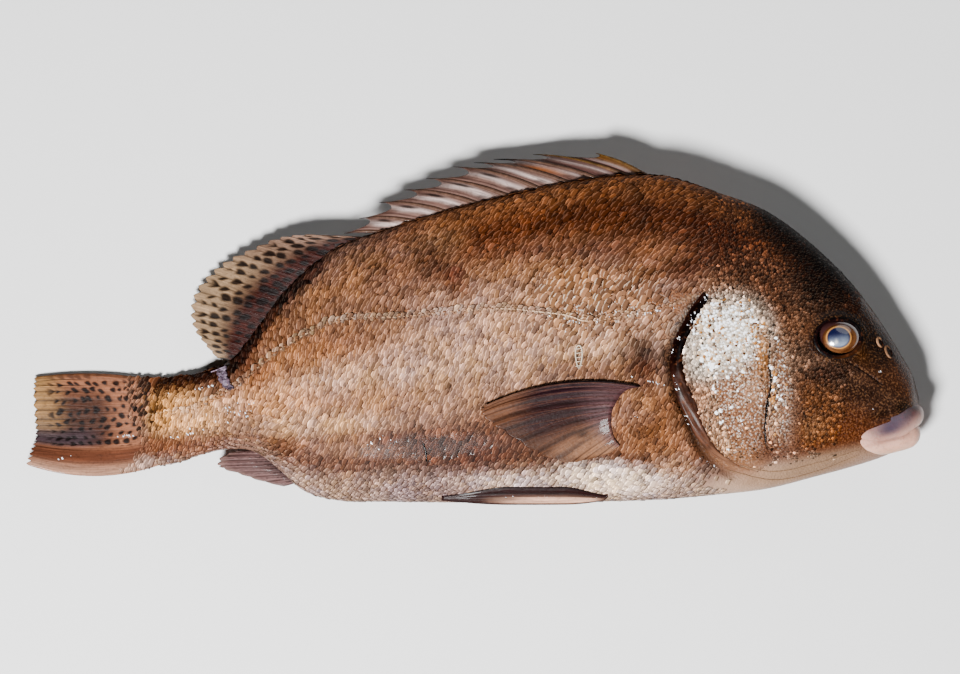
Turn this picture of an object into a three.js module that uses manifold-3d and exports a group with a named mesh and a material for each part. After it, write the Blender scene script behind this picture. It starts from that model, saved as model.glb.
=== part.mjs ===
// A whole raw reef fish, about 45 cm long, lying on its left side as on a market slab.
// X runs from the tail to the snout, Y from the belly to the back, Z up from the slab. Millimetres.
// The fish is one solid: trunk, head, gill covers, lips and all the fins. The two eyeballs sit in
// their sockets as solids of their own.
import * as THREE from "three";
import { mergeVertices } from "three/addons/utils/BufferGeometryUtils.js";
import Module from "manifold-3d";

const wasm = await Module();
wasm.setup();

// Driving dimensions
const girthPoints = 28;
const lengthSteps = 46;
const lowerSideFullness = 0.9; // the side lain on is pressed flatter than the side shown
const slabPress = 1.2; // how far the flesh flattens against the slab
const headLift = 9; // the stiff head clears the slab by this much at the snout
const eyeCentre = { x: 181, y: -5.3 };
const eyeRadius = 11.2;
const eyeDepth = 7.5; // half the thickness of the flattened eyeball
const eyeProud = 2.2;
const eyeClearance = 0.35;
const spineCount = 10;
const softRayCount = 20;
const tailRayCount = 15;
const pectoralRayCount = 12;
const analRayCount = 8;
const pelvicRayCount = 5;
const membraneThickness = 0.9;
const rayThickness = 1.5;

// The trunk and head: the height of back and belly and half the thickness, from tail root to snout
const ribs = [
  [-164, -27.5, -69.5, 2.8],
  [-150, -25.6, -68.2, 5.2],
  [-136, -22.9, -63.6, 7.8],
  [-122, -17.0, -60.8, 10],
  [-110, -3.0, -62, 12],
  [-98, 13.4, -70.5, 14.1],
  [-86, 26.2, -81, 16.2],
  [-68, 39.6, -86.4, 19],
  [-45, 48.2, -87, 21.8],
  [-15, 57.6, -87.3, 24.4],
  [20, 66.3, -87.3, 26.3],
  [55, 73.4, -87, 27],
  [92, 75.6, -85.9, 27],
  [120, 67.8, -83.6, 26.5],
  [147, 57.4, -80.4, 25],
  [170, 40.4, -74.6, 22.4],
  [190, 20.3, -69.2, 19.2],
  [204, 1.6, -64.6, 16.2],
  [214, -14.6, -59.8, 13.4],
  [219.5, -24.5, -55.5, 10],
  [222.5, -34, -49, 5.2],
];
const ribTable = new THREE.CubicInterpolant(
  ribs.map((rib) => rib[0]),
  ribs.flatMap((rib) => rib.slice(1)),
  3,
);
const tailRoot = ribs[0][0];
const snout = ribs.at(-1)[0];

// Low relief of the flank, in millimetres outwards: the pectoral fin's muscle and the cheek
function relief(x, y) {
  const bump = (cx, cy, rx, ry, height) =>
    height * Math.exp(-(((x - cx) / rx) ** 2) - ((y - cy) / ry) ** 2);
  return (
    bump(76, -44, 11, 14, 2.4) +
    bump(172, -40, 20, 20, 1.2) -
    bump(205, -8, 12, 9, 1.2) -
    bump(150, -72, 34, 8, 1.5)
  );
}

function section(x) {
  const [back, belly, half] = ribTable.evaluate(x);
  const low = half * lowerSideFullness;
  const nod = Math.max(0, (x - 120) / (snout - 120));
  return {
    back,
    belly,
    widest: belly + (back - belly) * 0.48,
    high: half,
    low,
    middle: low - slabPress + headLift * nod * nod,
  };
}

// How thick the fish is at height y, as a share of its greatest thickness: a superellipse
const backCurve = { across: 2.15, round: 1.9 };
const bellyCurve = { across: 2.5, round: 2 };
function fullness(s, y) {
  const up = y > s.widest;
  const reach = up ? s.back - s.widest : s.widest - s.belly;
  const { across, round } = up ? backCurve : bellyCurve;
  const t = Math.min(1, Math.abs(y - s.widest) / reach);
  return (1 - t ** across) ** (1 / round);
}

// The skin over x, y on the shown side (side = 1) or the side lain on (side = -1)
function skin(x, y, side, proud = 0, lowest = 0.4) {
  const s = section(x);
  const f = fullness(s, y);
  const thick = side > 0 ? s.high : s.low;
  const out = thick * f + relief(x, y) * Math.min(1, f * 2) + proud;
  return new THREE.Vector3(x, y, Math.max(lowest, s.middle + side * out));
}

// Geometry helpers: closed meshes from rings, or from a thin sheet with two faces
function closedMesh(points, triangles) {
  const geometry = new THREE.BufferGeometry();
  const flat = points.flatMap((p) => [p.x, p.y, p.z]);
  geometry.setAttribute("position", new THREE.Float32BufferAttribute(flat, 3));
  geometry.setIndex(triangles.flat());
  return geometry;
}

function asSolid(geometry) {
  geometry.deleteAttribute("normal");
  geometry.deleteAttribute("uv");
  const merged = mergeVertices(geometry, 1e-4);
  const vertProperties = merged.attributes.position.array;
  const corners = Array.from(merged.index.array);
  const build = (triVerts) =>
    new wasm.Manifold(new wasm.Mesh({ numProp: 3, vertProperties, triVerts }));
  const made = build(new Uint32Array(corners));
  if (made.volume() > 0) return made;
  for (let i = 0; i < corners.length; i += 3)
    [corners[i + 1], corners[i + 2]] = [corners[i + 2], corners[i + 1]];
  return build(new Uint32Array(corners));
}

function loft(rings) {
  const n = rings[0].length;
  const points = rings.flat();
  const triangles = [];
  for (let r = 0; r + 1 < rings.length; r++)
    for (let i = 0; i < n; i++) {
      const [a, b] = [r * n + i, r * n + ((i + 1) % n)];
      triangles.push([a, b, b + n], [a, b + n, a + n]);
    }
  for (const [ring, turn] of [
    [0, 1],
    [rings.length - 1, 0],
  ]) {
    const hub = points.length;
    const middle = new THREE.Vector3();
    rings[ring].forEach((p) => middle.addScaledVector(p, 1 / n));
    points.push(middle);
    for (let i = 0; i < n; i++) {
      const [a, b] = [ring * n + i, ring * n + ((i + 1) % n)];
      triangles.push(turn ? [hub, b, a] : [hub, a, b]);
    }
  }
  return asSolid(closedMesh(points, triangles));
}

// A thin sheet: middle(u, v) is its middle surface, thickness(column, v) its thickness,
// and facing its general direction. Columns run across the rays, rows along them.
function sheet(columns, rows, middle, thickness, facing = new THREE.Vector3(0, 0, 1)) {
  const faces = [1, -1].map((side) => {
    const grid = [];
    for (let r = 0; r <= rows; r++)
      for (let c = 0; c <= columns; c++) {
        const p = middle(c / columns, r / rows, c);
        grid.push(p.clone().addScaledVector(facing, (side * thickness(c, r / rows)) / 2));
      }
    return grid;
  });
  const width = columns + 1;
  const total = width * (rows + 1);
  const triangles = [];
  for (let r = 0; r < rows; r++)
    for (let c = 0; c < columns; c++) {
      const a = r * width + c;
      const quad = [a, a + 1, a + width + 1, a + width];
      triangles.push([quad[0], quad[1], quad[2]], [quad[0], quad[2], quad[3]]);
      const under = quad.map((i) => i + total);
      triangles.push([under[0], under[2], under[1]], [under[0], under[3], under[2]]);
    }
  const rim = [];
  for (let c = 0; c < columns; c++) rim.push([c, c + 1]);
  for (let r = 0; r < rows; r++) rim.push([r * width + columns, (r + 1) * width + columns]);
  for (let c = columns; c > 0; c--) rim.push([rows * width + c, rows * width + c - 1]);
  for (let r = rows; r > 0; r--) rim.push([r * width, (r - 1) * width]);
  for (const [a, b] of rim) triangles.push([b, a, a + total], [b, a + total, b + total]);
  return asSolid(closedMesh([...faces[0], ...faces[1]], triangles));
}

const curve = (points) =>
  new THREE.CatmullRomCurve3(points.map(([x, y]) => new THREE.Vector3(x, y, 0)));
const taper = (t) => Math.sqrt(Math.max(0, 1 - t * t));

// A fin's rays are ridges: every second column of its sheet is a ray, thicker than the membrane
const rayed = (c, v) => (c % 2 ? rayThickness : membraneThickness) * (1 - 0.35 * v);

// Trunk and head
function trunk() {
  const rings = [];
  for (let i = 0; i <= lengthSteps; i++) {
    const x = tailRoot + (snout - tailRoot) * Math.sin((i / lengthSteps) * (Math.PI / 2));
    const s = section(x);
    const ring = [];
    for (let j = 0; j < girthPoints; j++) {
      const angle = (2 * Math.PI * j) / girthPoints;
      const [c, d] = [Math.cos(angle), Math.sin(angle)];
      const { across, round } = c > 0 ? backCurve : bellyCurve;
      const reach = c > 0 ? s.back - s.widest : s.widest - s.belly;
      const y = s.widest + reach * Math.sign(c) * Math.abs(c) ** (2 / across);
      const f = Math.abs(d) ** (2 / round);
      const out = (d > 0 ? s.high : s.low) * f + relief(x, y) * Math.min(1, f * 2);
      ring.push(new THREE.Vector3(x, y, Math.max(0, s.middle + Math.sign(d) * out)));
    }
    rings.push(ring);
  }
  return loft(rings);
}

// Gill cover: a bony plate that stands proud of the shoulder along its rear edge
const coverRear = curve([
  [116, 15.5], [110, 4.8], [103.5, -12], [104.3, -23], [110, -37], [114, -49],
  [121, -60.5], [130, -67], [141, -72],
]);
const coverFront = curve([
  [136, 12], [147, -7], [147.5, -28], [145, -46], [145, -58], [149, -66],
]);
const coverProud = 2.2;
const coverThickness = 2.4;
function gillCover(side) {
  const surface = (u, v) => {
    const p = coverFront.getPoint(v).lerp(coverRear.getPoint(v), u);
    const lift = coverProud * Math.min(1, 1.6 * u) * taper(2 * v - 1) - 1;
    return skin(p.x, p.y, side, lift, coverThickness / 2 + 0.1);
  };
  return sheet(4, 10, surface, () => coverThickness);
}

// Gill slit: a groove behind the cover, and the shallow edge of the cheek bone before it
const gillSlit = curve([
  [117, 17], [110, 4.5], [102, -5], [98.8, -11], [98, -17], [98.9, -24], [101.5, -34],
  [105.5, -44], [110, -55], [117, -65], [126, -71.5],
]);
const cheekEdge = curve([[147, -5], [147.5, -28], [145, -46], [144.8, -58]]);
function groove(path, side, width, depth, steps) {
  const rings = [];
  for (let i = 0; i <= steps; i++) {
    const t = i / steps;
    const p = path.getPoint(t);
    const across = path.getTangent(t);
    across.set(-across.y, across.x, 0).normalize();
    const half = (width / 2) * (0.25 + 0.75 * taper(2 * t - 1));
    const deep = depth * (0.2 + 0.8 * taper(2 * t - 1));
    rings.push(
      [[-1, 6], [1, 6], [1, 0], [0.15, -deep], [-0.15, -deep], [-1, 0]].map(([a, out]) => {
        const q = p.clone().addScaledVector(across, a * half);
        return skin(q.x, q.y, side, out);
      }),
    );
  }
  return loft(rings);
}

// Lips: two fleshy rolls that run round the snout from one corner of the mouth to the other
function lip(front, corner, thick, cornerThick) {
  const steps = 14;
  const sides = 7;
  const path = [];
  for (let i = 0; i <= steps; i++) {
    const t = (2 * i) / steps - 1;
    const back = 1 - Math.cos((t * Math.PI) / 2);
    const x = front.x + (corner.x - front.x) * back;
    const y = front.y + (corner.y - front.y) * Math.abs(t) ** 1.3;
    const s = section(x);
    const out = fullness(s, y) * (t > 0 ? s.high : s.low);
    path.push(new THREE.Vector3(x, y, s.middle + Math.sign(t) * out));
  }
  const line = new THREE.CatmullRomCurve3(path);
  const rings = path.map((_, i) => {
    const t = i / steps;
    const ahead = line.getTangent(t);
    const up = new THREE.Vector3(0, 1, 0).addScaledVector(ahead, -ahead.y).normalize();
    const out = new THREE.Vector3().crossVectors(ahead, up);
    const r = cornerThick + (thick - cornerThick) * taper(2 * t - 1) ** 0.6;
    return Array.from({ length: sides }, (__, j) => {
      const a = (2 * Math.PI * j) / sides;
      const p = line.getPoint(t).addScaledVector(up, r * Math.cos(a));
      return p.addScaledVector(out, 0.8 * r * Math.sin(a));
    });
  });
  return loft(rings);
}

// Eyes: a flattened ball in a socket with a raised rim
function eyePlace(side) {
  const p = skin(eyeCentre.x, eyeCentre.y, side);
  return new THREE.Vector3(p.x, p.y, p.z + side * (eyeProud - eyeDepth));
}
function eyeBall(side, grow = 0) {
  const ball = new THREE.SphereGeometry(1, 16, 10);
  ball.rotateX(Math.PI / 2);
  ball.scale(eyeRadius + grow, eyeRadius * 0.84 + grow, eyeDepth + grow);
  const p = eyePlace(side);
  return ball.translate(p.x, p.y, p.z);
}
function eyeRim(side) {
  const rim = new THREE.TorusGeometry(eyeRadius + 0.6, 1.5, 5, 18);
  rim.scale(1, 0.86, 1);
  const p = skin(eyeCentre.x, eyeCentre.y, side);
  return asSolid(rim.translate(p.x, p.y, p.z - side * 0.5));
}

// Nostrils: two small pits ahead of each eye
const nostrils = [[202.4, -7.4], [206.8, -12.2]];
function nostril([x, y], side) {
  const pit = new THREE.SphereGeometry(1, 8, 6);
  pit.scale(1, 2.2, 1.8);
  pit.rotateZ(0.5);
  const p = skin(x, y, side);
  return asSolid(pit.translate(p.x, p.y, p.z));
}

// Spiny dorsal fin: ten spines laid back, with a scalloped membrane between them
const spineTips = [
  [61, 87], [29.6, 86.6], [10, 84.2], [0, 82.5], [-10.2, 80.4],
  [-23.8, 74.5], [-34.8, 68.8], [-47.4, 62.5], [-57.2, 54.5], [-65, 47],
];
const spineRoots = spineTips.map((_, k) => (k ? 84.6 - 15.4 * (k - 1) : 92));
const finDroop = 0.0042; // a fin sags towards the slab with the square of its reach
function midline(x, y, rootX = x) {
  const s = section(rootX);
  const reach = Math.max(0, Math.hypot(x - rootX, y - s.back));
  return new THREE.Vector3(x, y, Math.max(1.2, s.middle - finDroop * reach * reach));
}
function spinePoint(k, t) {
  const rootX = spineRoots[k];
  const root = new THREE.Vector2(rootX, section(rootX).back - 4);
  const tip = new THREE.Vector2(...spineTips[k]);
  const length = root.distanceTo(tip);
  const p = root.clone().lerp(tip, t);
  return midline(p.x, p.y + 0.22 * length * t * (1 - t), rootX);
}
function spine(k) {
  const radii = [1.5, 1.2, 0.8, 0.25];
  const rings = radii.map((r, i) => {
    const p = spinePoint(k, i / (radii.length - 1));
    return Array.from({ length: 5 }, (_, j) => {
      const a = (2 * Math.PI * j) / 5;
      return new THREE.Vector3(p.x + 0.3 * r * Math.cos(a), p.y + r * Math.cos(a), p.z + r * Math.sin(a));
    });
  });
  return loft(rings);
}
function spinyMembrane() {
  const perGap = 2;
  const freeTip = 0.17;
  const surface = (u, v) => {
    const along = u * (spineCount - 1);
    const k = Math.min(spineCount - 2, Math.floor(along));
    const f = along - k;
    const t = v * (1 - freeTip - 0.1 * Math.sin(Math.PI * f));
    return spinePoint(k, t).lerp(spinePoint(k + 1, t), f);
  };
  return sheet(perGap * (spineCount - 1), 3, surface, () => membraneThickness);
}

// A fan of rays between a root curve and a tip curve. The membrane stops short of the ray tips
function fan(rays, rows, root, tip, place, notch, bow = () => 0) {
  const columns = 2 * rays;
  const surface = (u, v, c) => {
    const reach = c % 2 ? 1 : 1 - notch;
    const [a, b] = [root.getPoint(u), tip.getPoint(u)];
    const p = a.clone().lerp(b, v * reach);
    const side = new THREE.Vector3(b.y - a.y, a.x - b.x, 0).multiplyScalar(bow(u) * v * (1 - v));
    return place(p.add(side), a, v, u);
  };
  return sheet(columns, rows, surface, rayed);
}

// Soft dorsal fin: the rays spring from the steep back behind the spines
function softDorsal() {
  const roots = [-46, -62, -74, -85, -94, -102, -109, -115, -119];
  const root = curve(roots.map((x) => [x, section(x).back - 3]));
  const tip = curve([
    [-69, 46], [-87, 46.4], [-99, 44.6], [-111, 39.6], [-123, 34], [-132, 27.4],
    [-139.4, 18.6], [-142, 8.6], [-140.3, -0.6], [-135, -8], [-129, -15],
  ]);
  return fan(softRayCount, 4, root, tip, (p, a) => midline(p.x, p.y, a.x), 0.06);
}

// Tail fin: nearly closed, its lower lobe folded up along a crease, its end lying on the slab
function tailFin() {
  const root = curve([[-154, -27.5], [-151, -38], [-150, -48], [-151.5, -58], [-156, -68.5]]);
  const tip = curve([
    [-220.4, -24.4], [-221, -32], [-220.4, -46], [-219.9, -54.6], [-222.4, -62], [-224.6, -69.2],
  ]);
  const place = (p, a, v, u) => {
    const lobe = Math.max(0, (u - 0.7) / 0.3);
    const lie = THREE.MathUtils.lerp(section(tailRoot).middle, 1.3, v);
    const wave = 0.7 * v * (1 + Math.sin(u * 9));
    return new THREE.Vector3(p.x, p.y, lie + wave + 3.2 * v * Math.sin(lobe * Math.PI * 0.6));
  };
  return fan(tailRayCount, 5, root, tip, place, 0.03, (u) => 0.17 - 0.5 * u);
}

// Anal fin: folded back along the root of the tail
function analFin() {
  const root = curve([[-97, -62], [-95.5, -67], [-92, -72], [-88, -77.5]]);
  const tip = curve([
    [-118, -61.4], [-127, -65], [-128.4, -68.8], [-126.4, -70.4], [-117, -73.4],
    [-108, -76.4], [-95.4, -79.6],
  ]);
  const place = (p, a, v) => {
    const m = section(a.x).middle;
    return new THREE.Vector3(p.x, p.y, m - 5 * v * v);
  };
  return fan(analRayCount, 3, root, tip, place, 0.05);
}

// Pectoral fins: broad fans laid back on the flank, free of it except at the root
function pectoral(side) {
  const root = curve([
    [85, -29.5], [77, -31.5], [71, -39], [69, -46], [70, -54], [72.5, -58.5],
  ]);
  const tip = curve([
    [5.6, -38.2], [3, -41.4], [4.8, -45], [14.6, -51.8], [29.6, -61.2], [45.6, -67],
    [56, -65.8], [67.4, -62.8],
  ]);
  const place = (p, a, v) => skin(p.x, p.y, side, v < 0.01 ? -1.6 : 1 + 1.4 * v * v, rayThickness / 2 + 0.1);
  return fan(pectoralRayCount, 4, root, tip, place, 0.03, (u) => 0.34 * (1 - u) ** 1.5);
}

// Pelvic fins: folded narrow against the belly, one each side of its keel
function pelvic(side) {
  const rootX = 68;
  const tipX = -16;
  const surface = (u, v) => {
    const x = rootX + (tipX - rootX) * v;
    const s = section(x);
    const spread = 0.3 + 0.7 * Math.sin(Math.PI * Math.min(1, 0.25 + v * 0.75));
    const off = 8 + (u - 0.5) * 11 * spread;
    const thick = side > 0 ? s.high : s.low;
    const t = (1 - (off / thick) ** bellyCurve.round) ** (1 / bellyCurve.across);
    const clear = v < 0.01 ? -1.5 : 0.9;
    return new THREE.Vector3(x, s.widest - (s.widest - s.belly) * t - clear, s.middle + side * off);
  };
  return sheet(2 * pelvicRayCount, 4, surface, rayed, new THREE.Vector3(0, 1, 0));
}

// The whole fish, joined into one solid
function fish() {
  const sides = [1, -1];
  const parts = [
    trunk(),
    lip({ x: 219.4, y: -42 }, { x: 193, y: -53 }, 5, 2.4),
    lip({ x: 217, y: -52.5 }, { x: 194, y: -58.5 }, 3.9, 2),
    ...spineTips.map((_, k) => spine(k)),
    spinyMembrane(),
    softDorsal(),
    tailFin(),
    analFin(),
    ...sides.flatMap((side) => [gillCover(side), eyeRim(side), pectoral(side), pelvic(side)]),
  ];
  const cuts = sides.flatMap((side) => [
    groove(gillSlit, side, 5, 3, 13),
    groove(cheekEdge, side, 1.6, 1.2, 6),
    asSolid(eyeBall(side, eyeClearance)),
    ...nostrils.map((place) => nostril(place, side)),
  ]);
  const whole = parts.reduce((sum, part) => sum.add(part));
  const cut = cuts.reduce((left, tool) => left.subtract(tool), whole);
  // The outer surface alone is kept: joining leaves a few sealed pockets and loose crumbs
  return cut.decompose().reduce((best, body) => (body.volume() > best.volume() ? body : best));
}

function geometryOf(solid) {
  const { vertProperties, triVerts } = solid.getMesh();
  const geometry = new THREE.BufferGeometry();
  geometry.setAttribute("position", new THREE.BufferAttribute(vertProperties, 3));
  geometry.setIndex(new THREE.BufferAttribute(triVerts, 1));
  geometry.computeVertexNormals();
  return geometry;
}

const skinMaterial = new THREE.MeshStandardMaterial({ color: 0x8a6244, roughness: 0.35, metalness: 0.1 });
const eyeMaterial = new THREE.MeshStandardMaterial({ color: 0x4a5a7a, roughness: 0.08, metalness: 0 });

const model = new THREE.Group();
function addMesh(name, geometry, material) {
  const mesh = new THREE.Mesh(geometry, material);
  mesh.name = name;
  model.add(mesh);
}
addMesh("fish", geometryOf(fish()), skinMaterial);
addMesh("eye_right", eyeBall(1), eyeMaterial);
addMesh("eye_left", eyeBall(-1), eyeMaterial);

// The origin is the middle of the slab area that the fish covers
const box = new THREE.Box3().setFromObject(model);
const centre = box.getCenter(new THREE.Vector3());
model.position.set(-centre.x, -centre.y, -box.min.z);

export default model;
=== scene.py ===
import math

import bpy
import numpy as np
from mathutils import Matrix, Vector
from mathutils.bvhtree import BVHTree


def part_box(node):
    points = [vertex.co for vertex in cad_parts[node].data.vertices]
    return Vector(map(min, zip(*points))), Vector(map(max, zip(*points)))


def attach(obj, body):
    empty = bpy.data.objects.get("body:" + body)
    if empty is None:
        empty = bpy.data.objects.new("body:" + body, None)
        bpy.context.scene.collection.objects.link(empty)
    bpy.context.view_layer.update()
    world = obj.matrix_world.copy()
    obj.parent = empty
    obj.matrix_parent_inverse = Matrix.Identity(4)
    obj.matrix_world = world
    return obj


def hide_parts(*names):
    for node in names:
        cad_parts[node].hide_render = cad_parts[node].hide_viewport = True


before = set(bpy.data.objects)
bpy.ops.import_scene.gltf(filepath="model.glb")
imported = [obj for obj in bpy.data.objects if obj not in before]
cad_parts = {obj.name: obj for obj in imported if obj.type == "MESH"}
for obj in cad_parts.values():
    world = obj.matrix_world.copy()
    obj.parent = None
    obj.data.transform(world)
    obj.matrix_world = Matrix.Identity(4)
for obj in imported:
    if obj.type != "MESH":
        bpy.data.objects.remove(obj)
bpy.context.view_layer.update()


# The trunk and head: one wet skin over deep, flat-sided flesh, limp enough to lie flat on a slab.
# Back, belly and thickness follow the same ribs as the solid, so every other piece can ask this
# form where the skin is. Millimetres here, with X to the snout, Y to the back and Z up.
RIBS = np.array([
    [-164, -27.5, -69.5, 2.8], [-150, -25.6, -68.2, 5.2], [-136, -22.9, -63.6, 7.8],
    [-122, -17.0, -60.8, 10], [-110, -3.0, -62, 12], [-98, 13.4, -70.5, 14.1],
    [-86, 26.2, -81, 16.2], [-68, 39.6, -86.4, 19], [-45, 48.2, -87, 21.8],
    [-15, 57.6, -87.3, 24.4], [20, 66.3, -87.3, 26.3], [55, 73.4, -87, 27],
    [92, 75.6, -85.9, 27], [120, 67.8, -83.6, 26.5], [147, 57.4, -80.4, 25],
    [170, 40.4, -74.6, 22.4], [190, 20.3, -69.2, 19.2], [204, 1.6, -64.6, 16.2],
    [214, -14.6, -59.8, 13.4], [219.5, -24.5, -55.5, 10], [222.5, -34, -49, 5.2],
])
TAIL_ROOT = RIBS[0, 0]
SNOUT = RIBS[-1, 0]
LOWER_SIDE_FULLNESS = 0.9
SLAB_PRESS = 1.2
HEAD_LIFT = 9.0
BACK_CURVE = (2.15, 1.9)
BELLY_CURVE = (2.5, 2.0)
EYE_X, EYE_Y = 181.0, -5.3
MM = 0.001

eye_low, eye_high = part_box("eye_right")
eye_middle = (eye_low + eye_high) / 2
TO_FRAME = np.array([eye_middle.x / MM - EYE_X, eye_middle.y / MM - EYE_Y, 0.0])


def rib(x):
    """Back, belly and half thickness at x, on the cubic through the ribs."""
    at = RIBS[:, 0]
    x = np.clip(np.asarray(x, float), at[0], at[-1])
    i = np.clip(np.searchsorted(at, x, side="right"), 1, len(at) - 1)
    before = np.where(i > 1, i - 2, i)
    after = np.where(i < len(at) - 1, i + 1, i - 1)
    t0, t1 = at[i - 1], at[i]
    w0 = 0.5 * (t1 - t0) / (t0 - at[before])
    w1 = 0.5 * (t1 - t0) / (at[after] - t1)
    p = (x - t0) / (t1 - t0)
    share_before = w0 * (-p**3 + 2 * p**2 - p)
    share_0 = (1 + w0) * p**3 - (1.5 + 2 * w0) * p**2 + (w0 - 0.5) * p + 1
    share_1 = -(1 + w1) * p**3 + (1.5 + w1) * p**2 + 0.5 * p
    share_after = w1 * (p**3 - p**2)
    rows = zip((share_before, share_0, share_1, share_after), (before, i - 1, i, after))
    return sum(share[..., None] * RIBS[k, 1:] for share, k in rows)


def section(x):
    """Back, belly, widest height, thickness upwards and downwards, and mid-plane at x."""
    back, belly, half = np.moveaxis(rib(x), -1, 0)
    low = half * LOWER_SIDE_FULLNESS
    half = half * (1 - 0.62 * np.clip((-148 - np.asarray(x, float)) / 16, 0, 1) ** 2)
    nod = np.maximum(0, (np.asarray(x, float) - 120) / (SNOUT - 120))
    return back, belly, belly + (back - belly) * 0.48, half, low, low - SLAB_PRESS + HEAD_LIFT * nod**2


def bump(x, y, cx, cy, rx, ry, height):
    return height * np.exp(-(((x - cx) / rx) ** 2) - ((y - cy) / ry) ** 2)


def flesh_relief(x, y):
    """The low swellings that the solid has too: the pectoral fin's muscle and the cheek."""
    return (bump(x, y, 76, -44, 11, 14, 2.4) + bump(x, y, 172, -40, 20, 20, 1.2)
            - bump(x, y, 205, -8, 12, 9, 1.2) - bump(x, y, 150, -72, 34, 8, 1.5))


def smooth_line(points):
    """A curve through the points, as a function of t from 0 to 1."""
    p = np.array(points, float)
    ends = np.vstack([2 * p[0] - p[1], p, 2 * p[-1] - p[-2]])

    def at(t):
        s = np.clip(np.asarray(t, float), 0, 1) * (len(p) - 1)
        k = np.minimum(s.astype(int), len(p) - 2)
        w = (s - k)[..., None]
        a, b, c, d = (ends[k + n] for n in range(4))
        gap = [np.sqrt(np.linalg.norm(q - r, axis=-1))[..., None] for q, r in ((b, a), (c, b), (d, c))]
        m1 = ((b - a) / gap[0] - (c - a) / (gap[0] + gap[1]) + (c - b) / gap[1]) * gap[1]
        m2 = ((c - b) / gap[1] - (d - b) / (gap[1] + gap[2]) + (d - c) / gap[2]) * gap[1]
        return b + m1 * w + (3 * (c - b) - 2 * m1 - m2) * w**2 + (2 * (b - c) + m1 + m2) * w**3

    return at


def distance_to(line, x, y, steps=80):
    """How far x, y is from a curve, signed to its left, and the curve's t at the nearest point."""
    ts = np.linspace(0, 1, steps)
    p = line(ts)
    best = np.full(np.shape(x), 1e9)
    near = np.zeros(np.shape(x))
    sign = np.ones(np.shape(x))
    for k in range(steps - 1):
        d = p[k + 1] - p[k]
        s = np.clip(((x - p[k, 0]) * d[0] + (y - p[k, 1]) * d[1]) / (d @ d), 0, 1)
        dx, dy = x - p[k, 0] - s * d[0], y - p[k, 1] - s * d[1]
        far = np.hypot(dx, dy)
        closer = far < best
        best = np.where(closer, far, best)
        near = np.where(closer, ts[k] + s * (ts[k + 1] - ts[k]), near)
        sign = np.where(closer, np.where(d[0] * dy - d[1] * dx >= 0, 1.0, -1.0), sign)
    return best * sign, near


def ramp(value, low, high):
    t = np.clip((value - low) / (high - low), 0, 1)
    return t * t * (3 - 2 * t)


GILL_SLIT = smooth_line([
    (114.8, 18.2), (108.6, 10.5), (104.4, 3), (100.6, -4), (98.4, -11), (97.8, -17), (98.9, -24),
    (101.5, -34), (105.5, -44), (110, -55), (117, -65), (126, -71.5), (138, -76),
])
SLIT_WIDTH, SLIT_DEPTH = 2.6, 3.0
LIP_FOLD = smooth_line([(219, -39), (211, -44.3), (203.5, -44.5), (193.5, -47.8)])
CHEEK_EDGE = smooth_line([
    (147.1, -7.2), (146.6, -18.7), (147.6, -28.2), (145.8, -37.2), (144.8, -46.2), (144.8, -57.7),
])
CHEEK_CREASE = smooth_line([(184.6, -16.8), (195, -23), (203, -28.8)])
THROAT_FOLDS = [
    smooth_line([
        (126 + 3 * k, -71 + 1.1 * k), (150, -76 + 2.1 * k), (172, -71.5 + 2.1 * k),
        (192, -63.5 + 1.2 * k),
    ])
    for k in range(4)
]
LATERAL_LINE = smooth_line([
    (110, 16), (92, 9.5), (78, 6.2), (55, 3.3), (47, 5.8), (32, 7.8), (14.6, 9.3), (-18, 7.3), (-37, 5.3),
    (-67, 3.8), (-95, -10), (-118, -28), (-140, -40), (-166, -46),
])


def eye_reach(x, y):
    return np.hypot((x - EYE_X) / 11.2, (y - EYE_Y) / 9.4)


def furrow(line, x, y, width, depth):
    far, t = distance_to(line, x, y, 40)
    return -depth * np.exp(-((far / width) ** 2)) * ramp(t, 0, 0.08) * ramp(1 - t, 0, 0.08)


def skin_relief(x, y):
    """Every hollow and ridge that is modelled into the skin itself."""
    h = furrow(GILL_SLIT, x, y, SLIT_WIDTH, SLIT_DEPTH)
    h += furrow(LIP_FOLD, x, y, 1.4, 1.2)
    h += furrow(CHEEK_CREASE, x, y, 0.9, 0.5)
    h += furrow(CHEEK_EDGE, x, y, 0.9, 0.9)
    for fold in THROAT_FOLDS:
        h += furrow(fold, x, y, 0.9, 0.5)
    far, _ = distance_to(LATERAL_LINE, x, y)
    h += 0.25 * np.exp(-((far / 1.2) ** 2))
    r = eye_reach(x, y)
    h += -5.0 * ramp(1.02 - r, 0, 0.08) + 0.7 * np.exp(-(((r - 1.2) / 0.16) ** 2))
    return h


def fullness(x, y):
    back, belly, widest, _, _, _ = section(x)
    up = y > widest
    t = np.clip(np.abs(y - widest) / np.where(up, back - widest, widest - belly), 0, 1)
    across = np.where(up, BACK_CURVE[0], BELLY_CURVE[0])
    return (1 - t**across) ** (1 / np.where(up, BACK_CURVE[1], BELLY_CURVE[1]))


def skin(x, y, side, proud=0.0, lowest=0.0):
    """The skin's points over x, y: side 1 is shown, side -1 is lain on."""
    _, _, _, high, low, middle = section(x)
    f = fullness(x, y)
    out = (high if side > 0 else low) * f + (flesh_relief(x, y) + skin_relief(x, y)) * np.minimum(1, f * 2)
    z = np.maximum(lowest, middle + side * (out + proud))
    return np.stack([x, y, z], -1)


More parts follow.
